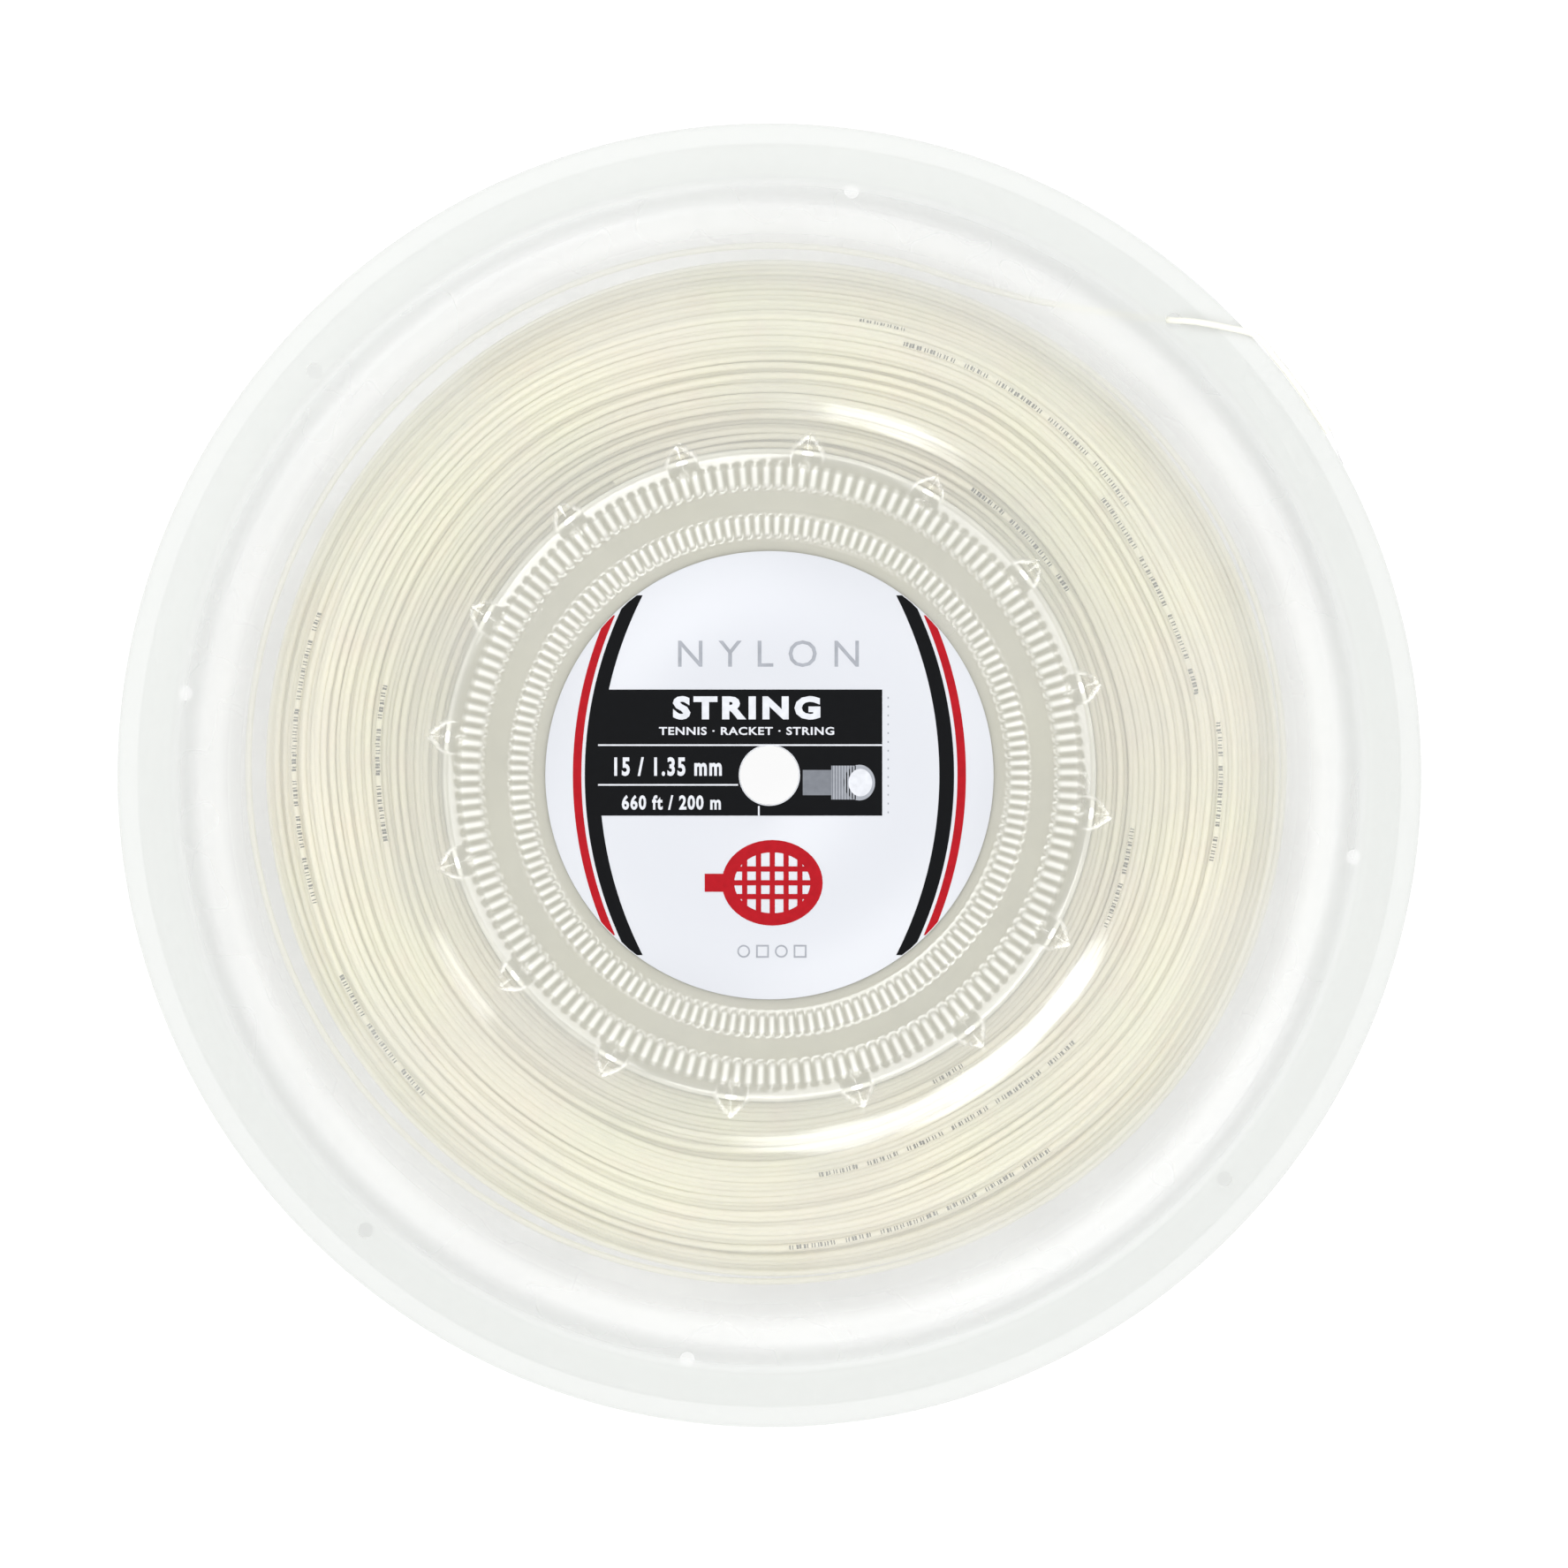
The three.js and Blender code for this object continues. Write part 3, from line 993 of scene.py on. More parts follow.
    def drills(self) -> bpy.types.Object:
        """Four round cutters for the tail holes."""
        steps = 24
        points: list[Vector] = []
        faces: list[tuple[int, ...]] = []
        for quarter in range(4):
            centre = polar(self.tail_hole_circle, self.tail_hole_angle + 90 * quarter, 0)
            base = len(points)
            for height in (self.half - 2, self.half + 1):
                for k in range(steps):
                    points.append(centre + polar(self.tail_hole_radius, 360 * k / steps, height))
            faces += prism_faces(steps, base)
        return mesh_object("tail_hole_drills", points, faces)


# ---------------------------------------------------------------- string


def waves_round(
    seed: int, sizes: Mapping[int, float], drift: float, turn: np.ndarray, share: np.ndarray
) -> np.ndarray:
    """Waves round the reel that slide slowly from layer to layer.

    Args:
        seed: Seed of their phases.
        sizes: Height of each wave by how many fit in a turn.
        drift: The most that a wave slides between the core and the outside, in radians.
        turn: Angles in radians.
        share: 0 at the core, 1 at the outermost layer.

    Returns:
        The waves' sum at each point.
    """
    draw = random.Random(seed)
    total = np.zeros_like(turn)
    for waves, size in sizes.items():
        phase = draw.uniform(0, 2 * math.pi)
        total += size * np.sin(waves * turn + phase + draw.uniform(-drift, drift) * share)
    return total


@dataclass(frozen=True)
class PrintRun:
    """A stretch of marks printed on one visible turn: its radius in mm and angles in degrees."""

    radius: float
    start: float
    end: float
    side: Side = Side.FRONT


@dataclass
class StringWinding:
    """The whole 200 m string in level layers round the core, and the marks printed on it.

    Lengths are in mm, heights above the middle plane. The turns lie on a lattice of layers (radially)
    and turns (along the axis); shared slow waves keep neighbours apart while they wander together.
    """

    inner: float
    middle: float  # height of the middle plane above the back rim plane
    shell: FormedShell
    mean_outer: float = 108.0
    layers: int = 38
    dome: float = 13.0  # over which the sides round off to the outermost layer
    steps: int = 120  # points in a turn
    sides: int = 8
    chunks: int = 5
    end_angle: float = 70.0  # where the loose end leaves
    lean: tuple[float, float] = (0.9, 1.7)  # how far the outside is off centre along X and Y
    climb: float = 0.18  # share of a turn in which the string steps up a layer
    short: float = 0.07  # the most that a layer stops short of a flange, as a share of the width
    leave: float = 0.75  # turns over which the string leaves for the loose end
    flange_gap: float = 0.35  # between the turns and the flanges
    print_gap: float = 0.12  # the same at a printed stretch
    print_lift: float = 0.8  # the most that a printed stretch rises above its turn
    seed: int = 7

    def outer(self, turn: np.ndarray) -> np.ndarray:
        """Outside radius of the winding at angles in radians, a little uneven round the core."""
        return self.mean_outer + self.lean[0] * np.cos(turn) + self.lean[1] * np.sin(turn)

    def half_width(self, radius: np.ndarray) -> np.ndarray:
        """Half of the space for the string's centre line between the flanges."""
        room = self.shell.section(radius) - SHEET
        out = np.clip((radius - self.mean_outer + self.dome) / self.dome, 0, 1)
        return (room - STRING_DIAMETER / 2 - self.flange_gap) * np.maximum((1 - out) ** 1.5, 0.06)

    def path(self) -> np.ndarray:
        """Centre line of the whole string in mm in the row frame, from the core to the loose end."""
        radial = (self.mean_outer - self.inner - STRING_DIAMETER) / (self.layers - 1)
        radii = self.inner + STRING_DIAMETER / 2 + radial * np.arange(self.layers)
        widths = 2 * self.half_width(radii)
        pitch = float((widths * 2 * math.pi * radii).sum() / STRING_LENGTH)
        turns = widths / pitch
        draw = random.Random(self.seed + 3)
        layer_parts: list[np.ndarray] = []
        height_parts: list[np.ndarray] = []
        for layer in range(self.layers):
            count = int(round(turns[layer] * self.steps))
            share = np.arange(count) / count
            climb = smooth_step(1 - self.climb / turns[layer], 1.0, share)
            if layer == self.layers - 1:
                climb = climb * 0
            direction = 1 if layer % 2 else -1
            # Each layer stops a little short of the flanges, by an amount of its own.
            first, last = draw.uniform(0, self.short), draw.uniform(0, self.short)
            layer_parts.append(layer + climb)
            height_parts.append(direction * (2 * share - 1 + first * (1 - share) - last * share))
        layer_at = np.concatenate(layer_parts)
        rise = np.concatenate(height_parts)
        total = len(layer_at)
        to_go = total - 1 - np.arange(total)
        turn = math.radians(self.end_angle) + to_go * (2 * math.pi / self.steps)
        share = layer_at / (self.layers - 1)
        room = self.outer(turn) - self.inner - STRING_DIAMETER
        radius = self.inner + STRING_DIAMETER / 2 + share * room
        radius = radius + self.wander(turn, share) + self.stray(total, share)
        radius = np.maximum(radius, self.inner + STRING_DIAMETER / 2)
        height = rise * self.half_width(radius) * (1 - self.slack(turn, share))
        lift = smooth_step(self.leave * self.steps, 0.0, to_go.astype(float))
        radius = radius + lift * (self.outer(np.array(math.radians(self.end_angle))) + LEAVE_LIFT - radius)
        height = height + lift * (LEAVE_HEIGHT - height)
        return np.stack([radius * np.cos(turn), radius * np.sin(turn), height + self.middle], 1)

    def printed(self, points: np.ndarray) -> list[tuple[int, int, int]]:
        """Find each printed stretch on the turn nearest the flange, and raise it over its neighbours.

        Args:
            points: The string's centre line, whose printed stretches are lifted.

        Returns:
            First and last point of each stretch, and 1 for the front or -1 for the back.
        """
        radius = np.hypot(points[:, 0], points[:, 1])
        angle = np.degrees(np.arctan2(points[:, 1], points[:, 0]))
        height = points[:, 2] - self.middle
        found = []
        for run in self.runs():
            up = 1 if run.side is Side.FRONT else -1
            off = np.abs((angle - (run.start + run.end) / 2 + 180) % 360 - 180)
            near = (off < 2) & (np.abs(radius - run.radius) < 1.3)
            at = int(np.argmax(np.where(near, up * height, -np.inf)))
            reach = int(abs(run.start - run.end) / 2 / 360 * self.steps)
            first, last = max(at - reach, 0), min(at + reach, len(points) - 1)
            span = np.arange(max(first - 6, 0), min(last + 7, len(points)))
            ease = smooth_step(-6, 0, span - first) * smooth_step(-6, 0, last - span)
            flange = self.shell.section(radius[span]) - SHEET - STRING_DIAMETER / 2 - self.print_gap
            limit = up * np.minimum(flange, np.abs(height[span]) + self.print_lift)
            points[span, 2] += ease * (limit - height[span])
            found.append((first, last, up))
        return found

    def wander(self, turn: np.ndarray, share: np.ndarray) -> np.ndarray:
        """Slow radial waves that neighbouring turns share, none at the core or outside.

        Args:
            turn: Angles in radians.
            share: 0 at the core, 1 at the outermost layer.

        Returns:
            Radial offsets in mm.
        """
        sizes = {3: 0.45, 4: 0.5, 5: 0.4, 7: 0.25, 9: 0.14, 13: 0.07}
        return waves_round(self.seed, sizes, 2.5, turn, share) * 4 * share * (1 - share)

    def stray(self, total: int, share: np.ndarray) -> np.ndarray:
        """Radial drift of each turn by itself, so that neighbours part and cross.

        Args:
            total: Number of points in the string.
            share: 0 at the core, 1 at the outermost layer.

        Returns:
            Radial offsets in mm.
        """
        draw = random.Random(self.seed + 4)
        turns = np.arange(total) / self.steps
        away = np.zeros(total)
        for rate, size in ((0.37, 0.08), (0.71, 0.09), (1.31, 0.06), (2.23, 0.035), (3.61, 0.015)):
            away += size * np.sin(2 * math.pi * (rate * turns + draw.random()))
        return away * np.minimum(1.0, 8 * share)

    def slack(self, turn: np.ndarray, share: np.ndarray) -> np.ndarray:
        """How far the sides of the winding fall short of the flanges, as a share of the width."""
        sizes = {2: 0.012, 3: 0.014, 6: 0.01, 11: 0.008}
        return sum(sizes.values()) + waves_round(self.seed + 1, sizes, 5.0, turn, share)

    def build(
        self, points: np.ndarray, sweep: bpy.types.NodeTree, material: bpy.types.Material
    ) -> list[bpy.types.Object]:
        """Make the wound string as a few pieces that follow each other along it.

        Args:
            points: The string's centre line.
            sweep: The tree that sweeps the round section.
            material: The string's material.

        Returns:
            The pieces, from the core outwards.
        """
        length = float(np.linalg.norm(np.diff(points, axis=0), axis=1).sum())
        LOG.info("wound length %.1f m in %.0f turns", length * MM, len(points) / self.steps)
        cuts = np.linspace(0, len(points) - 1, self.chunks + 1).astype(int)
        made = []
        for k in range(self.chunks):
            stretch = points[cuts[k] : cuts[k + 1] + 1]
            edges = [(i, i + 1) for i in range(len(stretch) - 1)]
            line = mesh_object(f"string_turns_{k + 1}", stretch, [], edges)
            run_tree(
                line,
                sweep,
                {"Diameter": STRING_DIAMETER * MM, "Sides": self.sides, "Material": material},
            )
            made.append(settle(line))
        return made

    def runs(self) -> list[PrintRun]:
        """Where printed turns face outwards."""
        return [
            PrintRun(95.3, 71, 35), PrintRun(72.6, 58, 29), PrintRun(89.3, 41, 7), PrintRun(93.6, 9, -14),
            PrintRun(76.0, -7, -25), PrintRun(84.1, -40, -86), PrintRun(99.0, -51, -90),
            PrintRun(73.8, -53, -63), PrintRun(100.2, 158, 196), PrintRun(81.2, 165, 192),
            PrintRun(99.6, 203, 221), PrintRun(98.2, 83, 72), PrintRun(96.5, 20, 62, Side.BACK),
            PrintRun(80.4, 118, 150, Side.BACK), PrintRun(90.2, 205, 247, Side.BACK),
            PrintRun(86.5, 292, 330, Side.BACK),
        ]

    def print_marks(
        self,
        points: np.ndarray,
        stretches: Sequence[tuple[int, int, int]],
        scatter: bpy.types.NodeTree,
        ink: bpy.types.Material,
    ) -> bpy.types.Object:
        """Make the rows of plain ticks printed along the string.

        Args:
            points: The string's centre line.
            stretches: Its printed stretches.
            scatter: The tree that puts a tick on every point.
            ink: Their material.

        Returns:
            All ticks in one piece.
        """
        draw = random.Random(self.seed + 2)
        marks: list[tuple[tuple[float, ...], ...]] = []
        for first, last, up in stretches:
            marks += self.mark_run(points[first : last + 1], up, draw)
        places, turns, sizes = (np.array(values) for values in zip(*marks))
        cloud = mesh_object("string_print", places, [])
        for name, values in (("turn", turns), ("size", sizes)):
            held = cloud.data.attributes.new(name, "FLOAT_VECTOR", "POINT")
            held.data.foreach_set("vector", values.ravel())
        tick = self.tick()
        run_tree(cloud, scatter, {"Mark": tick, "Material": ink})
        made = settle(cloud)
        bpy.data.objects.remove(tick)
        return made

    @staticmethod
    def mark_run(stretch: np.ndarray, up: int, draw: random.Random) -> list[tuple[tuple[float, ...], ...]]:
        """Lay out the ticks of one run: groups of uneven short bars, like a coded row.

        Args:
            stretch: Centre line of the printed stretch.
            up: 1 if the marks face the front, -1 the back.
            draw: Seeded random numbers.

        Returns:
            Place, Euler angles and scale of each tick.
        """
        marks = []
        steps = np.linalg.norm(np.diff(stretch, axis=0), axis=1)
        along = np.concatenate([[0.0], np.cumsum(steps)])
        at = 0.6
        in_group = draw.randint(5, 9)
        while at < along[-1] - 0.6:
            for bar in range(2):
                here = at + 0.58 * bar
                at_bar, ahead = (
                    tuple(float(np.interp(s, along, stretch[:, k])) for k in range(3))
                    for s in (here, here + 0.4)
                )
                heading = math.atan2(ahead[1] - at_bar[1], ahead[0] - at_bar[0])
                roll = (0 if up > 0 else math.pi) + draw.uniform(-0.16, 0.16)
                marks.append((at_bar, (roll, 0.0, heading), (draw.choice((0.8, 1.0, 1.7)), 1.0, 1.0)))
            at += draw.uniform(1.35, 1.6)
            in_group -= 1
            if in_group == 0:
                at += 1.6
                in_group = draw.randint(4, 9)
        return marks

    @staticmethod
    def tick() -> bpy.types.Object:
        """One printed bar: a thin closed patch wrapped over the top of a string lying along X."""
        radius = STRING_DIAMETER / 2
        angles = np.radians(np.linspace(50, 130, 7))
        outline = [(radius - 0.02, a) for a in angles] + [(radius + 0.025, a) for a in reversed(angles)]
        points = [(x, r * math.cos(a), r * math.sin(a)) for x in (-0.14, 0.14) for r, a in outline]
        return mesh_object("tick", points, prism_faces(len(outline)))


@dataclass
class LooseEnd:
    """The string's outer end: off the winding, up through a tail hole, along the rim under tape."""

    rim: float
    middle: float
    half: float
    start_radius: float
    tape_from: float = 28.5
    tape_to: float = 40.0

    def route(self) -> list[Vector]:
        """The centre line's points in mm, as the CAD tube has them."""
        lie = self.half + 0.3 + STRING_DIAMETER / 2
        edge = self.rim + 0.2 + STRING_DIAMETER / 2
        steps = [
            (self.start_radius + LEAVE_LIFT, 70, LEAVE_HEIGHT), (111.9, 65.2, 6.0), (113.8, 60.6, 8.4),
            (117.8, 55.4, 11.8), (121.8, 51.6, 14.9), (124.5, 49.5, 17.4),
            (126.0, 48.4, self.half - SHEET / 2), (127.3, 47.6, lie + 0.25), (129.3, 46.4, lie + 0.45),
            (132.4, 44.4, lie + 0.05), (135.3, 42.5, lie - 0.05), (edge + 0.15, 41.1, self.half - 0.2),
            (edge, 39.6, self.half - 1.0), (edge, 36.5, self.half - 1.1), (edge, 31.5, self.half - 1.1),
        ]
        return [polar(r, a, self.middle + z) for r, a, z in steps]

    def smooth_route(self, between: int = 5) -> np.ndarray:
        """The route as a Catmull-Rom line.

        Args:
            between: Points added in each stretch.

        Returns:
            Points in mm.
        """
        given = [np.array(p) for p in self.route()]
        ends = [2 * given[0] - given[1], *given, 2 * given[-1] - given[-2]]
        line = []
        for k in range(1, len(ends) - 2):
            a, b, c, d = ends[k - 1 : k + 3]
            squared, cubed = 2 * a - 5 * b + 4 * c - d, 3 * b - a - 3 * c + d
            for s in np.arange(between) / between:
                line.append(0.5 * (2 * b + (c - a) * s + squared * s**2 + cubed * s**3))
        line.append(given[-1])
        return np.array(line)

    def build_string(self) -> tuple[bpy.types.Object, float]:
        """Make the loose end as a curve.

        Returns:
            The curve, and its length in metres.
        """
        line = self.smooth_route()
        data = bpy.data.curves.new("loose_end", "CURVE")
        data.dimensions = "3D"
        data.bevel_depth = STRING_DIAMETER / 2 * MM
        data.bevel_resolution = 3
        data.use_fill_caps = True
        spline = data.splines.new("POLY")
        spline.points.add(len(line) - 1)
        for point, place_mm in zip(spline.points, line):
            point.co = (*(place_mm * MM), 1.0)
        made = bpy.data.objects.new("loose_end", data)
        bpy.context.scene.collection.objects.link(made)
        length = float(np.linalg.norm(np.diff(line, axis=0), axis=1).sum()) * MM
        return made, length

    def build_tape(self) -> bpy.types.Object:
        """Make the tape folded over the rim's edge and the string beneath it."""
        out = self.rim + 0.2 + STRING_DIAMETER + 0.05
        top = self.half + 0.06
        low = self.half - SHEET - 0.06
        fold = self.half - 1.1 - STRING_DIAMETER / 2 - 0.1
        section = [
            (126.5, top), (129.5, top), (132.5, top + 0.02), (self.rim - 0.3, top + 0.03),
            (self.rim + 0.7, top - 0.08), (out - 0.35, top - 0.45), (out - 0.05, top - 0.95),
            (out, self.half - 1.2), (out - 0.1, self.half - 1.6), (out - 0.5, fold + 0.05),
            (self.rim + 0.6, fold + 0.02), (self.rim - 0.3, fold + 0.55), (self.rim - 1.4, low - 0.04),
            (132.0, low), (129.5, low),
        ]
        across = 30
        draw = random.Random(11)
        phases = [draw.uniform(0, 2 * math.pi) for _ in range(4)]
        points: list[Vector] = []
        for k in range(across + 1):
            share = k / across
            angle = self.tape_from + (self.tape_to - self.tape_from) * share
            # The film lies down on the bare rim past the end of the string.
            hug = float(smooth_step(0.02, 0.3, np.array(share)))
            for j, (r, z) in enumerate(section):
                bulge = max(r - self.rim - 0.25, 0.0) * (1 - hug)
                ripple = 0.05 * math.sin(5 * share * math.pi + phases[j % 4] + 0.7 * j)
                points.append(polar(r - bulge + ripple * (j > 3), angle + 0.25 * ripple, self.middle + z))
        return film("rim_tape", points, len(section))


# ---------------------------------------------------------------- hub pieces


@dataclass
class Hub:
    """Core ring, its start tape and the glue between the floors. Lengths in mm."""

    middle: float
    core_inner: float
    core_outer: float
    core_half: float

    def build_core(self) -> bpy.types.Object:
        """Make the core ring, its edges rounded."""
        inner, outer, half = self.core_inner, self.core_outer, self.core_half
        ease = 0.25
        loop = [
            (inner + ease, -half), (outer - ease, -half), (outer, -half + ease), (outer, half - ease),
            (outer - ease, half), (inner + ease, half), (inner, half - ease), (inner, -half + ease),
        ]
        made = turned("core_band", [(r, z + self.middle) for r, z in loop])
        shade_smooth(made)
        return made

    def build_glue(self) -> bpy.types.Object:
        """Make the glue ring that joins the floors, its edges uneven where it squeezed out."""
        draw = random.Random(5)
        phases = [draw.uniform(0, 2 * math.pi) for _ in range(4)]
        steps, inner, outer, half = 180, 16, 38, 0.28
        points = []
        for k in range(steps):
            angle = 360 * k / steps
            spread = sum(
                0.5 * math.sin(math.radians(angle) * waves + phase)
                for waves, phase in zip((3, 5, 8, 13), phases)
            )
            near, far = inner - spread, outer + spread
            for r, z in ((near, -half), (far, -half), (far, half), (near, half)):
                points.append(polar(r, angle, self.middle + z))
        made = mesh_object("floor_glue", points, grid_faces(steps, 4, True, True))
        shade_smooth(made)
        return made

    def build_start_tape(self) -> bpy.types.Object:
        """Make the tape over the string's first end on the core."""
        radius = self.core_outer + 0.08
        half_turn = math.degrees(7 / radius)
        across, down = 24, 8
        points = []
        for k in range(across + 1):
            angle = 180 - half_turn + 2 * half_turn * k / across
            for j in range(down + 1):
                height = -7.5 + 15 * j / down
                points.append(polar(radius + 0.02 * math.sin(k + 2 * j), angle, self.middle + height))
        return film("core_tape", points, down + 1)


@dataclass
class Label:
    """A round printed label: card disc with a centre hole, bands at both sides, a panel and an emblem.

    Lengths in mm. The print is laid out face up about the centre, then turned over for the back.
    """

    side: Side
    radius: float
    face: float  # height of the printed face above the middle plane
    middle: float
    hole: float = 6.2
    ink_lift: float = 0.035
    card: float = 0.3
    pieces: dict[InkTone, list[bpy.types.Object]] = field(default_factory=dict)

    def build_disc(self) -> bpy.types.Object:
        """Make the card disc with softly cut edges."""
        low, high, ease = self.face - self.card, self.face, 0.08
        loop = [
            (self.hole, low), (self.radius, low), (self.radius, high - ease), (self.radius - ease, high),
            (self.hole + ease, high), (self.hole, high - ease),
        ]
        made = turned(f"{self.side.value}_label_card", loop)
        shade_smooth(made, 50)
        return made

    def plate(self, tone: InkTone, outline: Sequence[tuple[float, float]], level: float = 1) -> None:
        """Print one flat shape.

        Args:
            tone: Its ink.
            outline: Corners in mm, anticlockwise.
            level: 1 on the card, 2 on other ink.
        """
        base = self.face + (level - 1) * self.ink_lift
        top = base + self.ink_lift
        points = [(x, y, z) for z in (base - 0.01, top) for x, y in outline]
        made = mesh_object("ink", points, prism_faces(len(outline)))
        self.pieces.setdefault(tone, []).append(made)

    def bar(self, tone: InkTone, x0: float, y0: float, x1: float, y1: float, level: float = 1) -> None:
        """Print a rectangle."""
        self.plate(tone, [(x0, y0), (x1, y0), (x1, y1), (x0, y1)], level)

    def ring_arc(
        self,
        tone: InkTone,
        centre: tuple[float, float],
        radii: tuple[float, float],
        width: float,
        span: tuple[float, float] = (0, 360),
        level: int = 1,
    ) -> None:
        """Print an elliptical ring or part of one as short plates.

        Args:
            tone: Its ink.
            centre: Its centre.
            radii: Outer half axes along X and Y.
            width: Width of the line.
            span: First and last angle in degrees.
            level: 1 on the card, 2 on other ink.
        """
        steps = max(int((span[1] - span[0]) / 7.5), 4)
        turn = np.radians(np.linspace(span[0], span[1], steps + 1))
        x, y = centre
        near, far = (
            [(x + (radii[0] - cut) * math.cos(t), y + (radii[1] - cut) * math.sin(t)) for t in turn]
            for cut in (width, 0)
        )
        for k in range(steps):
            self.plate(tone, [near[k], far[k], far[k + 1], near[k + 1]], level)

    def side_band(self, tone: InkTone, outer: float, width: float, mirror: int) -> None:
        """Print one of the bowed bands, cut to the disc's edge.

        Args:
            tone: Its ink.
            outer: Distance of its outer edge from the centre at mid height.
            width: Its width.
            mirror: 1 for the right side, -1 for the left.
        """
        bow = 83.2  # radius of the bands' curve
        steps = 60
        edge = self.radius - 0.15
        rows: list[tuple[float, float, float]] = []
        for y in np.linspace(-42.0, 42.0, steps + 1):
            sag = bow - math.sqrt(bow * bow - y * y)
            limit = math.sqrt(max(edge * edge - y * y, 0))
            high = min(outer - sag, limit)
            low = outer - width - sag
            if low < high - 0.02:
                rows.append((float(y), low, high))
        for (ya, low_a, high_a), (yb, low_b, high_b) in zip(rows, rows[1:]):
            corners = [(low_a, ya), (high_a, ya), (high_b, yb), (low_b, yb)]
            if mirror < 0:
                corners = [(-x, y) for x, y in reversed(corners)]
            self.plate(tone, corners, 0.6)

    def word(
        self,
        text: str,
        tone: InkTone,
        centre: tuple[float, float],
        size: tuple[float, float],
        bold: float,
        level: int = 1,
    ) -> None:
        """Print generic words or numbers.

        Args:
            text: What to print.
            tone: Its ink.
            centre: Middle of the line.
            size: Width of the line and height of its capitals.
            bold: How far its strokes are thickened.
            level: 1 on the card, 2 on other ink.
        """
        data = bpy.data.curves.new("word", "FONT")
        data.body = text
        data.size = size[1] / 0.7 * MM
        data.offset = bold * MM
        data.extrude = 0.5 * self.ink_lift * MM
        data.align_x = "CENTER"
        data.align_y = "CENTER"
        data.space_character = 1.06 + 0.7 * bold  # thick letters stay apart
        data.resolution_u = 3
        made = bpy.data.objects.new("word", data)
        bpy.context.scene.collection.objects.link(made)
        made = settle(made, "ink")
        across = [v.co.x for v in made.data.vertices]
        widen = size[0] * MM / (max(across) - min(across))
        middle = (max(across) + min(across)) / 2
        lift = self.face + (level - 0.5) * self.ink_lift
        made.data.transform(
            Matrix.Translation(Vector((centre[0], centre[1], lift)) * MM)
            @ Matrix.Diagonal((widen, 1.0, 1.0, 1.0))
            @ Matrix.Translation((-middle, 0.0, 0.0))
        )
        self.pieces.setdefault(tone, []).append(made)

    def lay_out(self) -> None:
        """Print everything: bands, grey word, panel with its rows, string picture, emblem and symbols."""
        for mirror in (-1, 1):
            self.side_band(InkTone.BLACK, 38.8, 3.1, mirror)
            self.side_band(InkTone.RED, 41.3, 1.8, mirror)
        self.word("N Y L O N", InkTone.SILVER, (-0.2, 25.2), (38.0, 5.6), 0.0)
        self.panel()
        self.string_picture()
        self.emblem()
        self.symbols()

    def panel(self) -> None:
        """Print the black panel round the centre hole, with its white rules and rows."""
        left, right, top, low = -36.0, 23.7, 18.0, -8.5
        clear = self.hole + 0.25
        outline_steps = 24
        black = InkTone.BLACK
        self.bar(black, left, clear, right, top)
        self.bar(black, left, low, right, -clear)
        for sign in (-1, 1):
            turn = np.radians(np.linspace(90, -90, outline_steps + 1))
            edge = [(sign * clear * math.cos(t), clear * math.sin(t)) for t in turn]
            side = left if sign < 0 else right
            for a, b in zip(edge, edge[1:]):
                corners = [(b[0], b[1]), (side, b[1]), (side, a[1]), (a[0], a[1])]
                self.plate(black, corners if sign > 0 else corners[::-1])
        white = InkTone.WHITE
        for text, centre, size, bold in (
            ("STRING", (-4.8, 13.9), (31.0, 4.3), 0.32),
            ("TENNIS \u00b7 RACKET \u00b7 STRING", (-4.8, 9.2), (36.8, 1.6), 0.05),
            ("15 / 1.35 mm", (-21.3, 1.6), (22.6, 3.6), 0.18),
            ("660 ft / 200 m", (-20.6, -5.9), (20.8, 2.8), 0.13),
        ):
            self.word(text, white, centre, size, bold, 2)
        self.bar(white, left, 6.15, right, 6.5, 2)
        self.bar(white, left, -2.2, -6.6, -1.85, 2)
        self.bar(white, -2.4, low, -2.05, -clear, 2)
        for k in range(14):
            self.bar(InkTone.SILVER, right + 1.1, low + 0.5 + 1.85 * k, right + 1.4, low + 0.9 + 1.85 * k)

    def string_picture(self) -> None:
        """Print the cut end of a string as a shaded picture beside the hole."""
        grey, silver, white = InkTone.GREY, InkTone.SILVER, InkTone.WHITE
        low, high = -5.1, 2.0
        middle = (low + high) / 2
        self.bar(grey, 7.0, low + 0.9, 13.0, high - 0.9, 2)
        self.bar(silver, 13.0, low, 18.8, high, 2)
        for k in range(9):
            x = 13.1 + 0.6 * k
            self.bar(grey, x, low, x + 0.25, high, 3)
        turn = np.linspace(0, 2 * math.pi, 33)[:-1]
        self.plate(silver, [(18.9 + 3.3 * math.cos(t), middle + 3.75 * math.sin(t)) for t in turn], 3)
        self.plate(white, [(19.1 + 2.5 * math.cos(t), middle + 2.9 * math.sin(t)) for t in turn], 4)

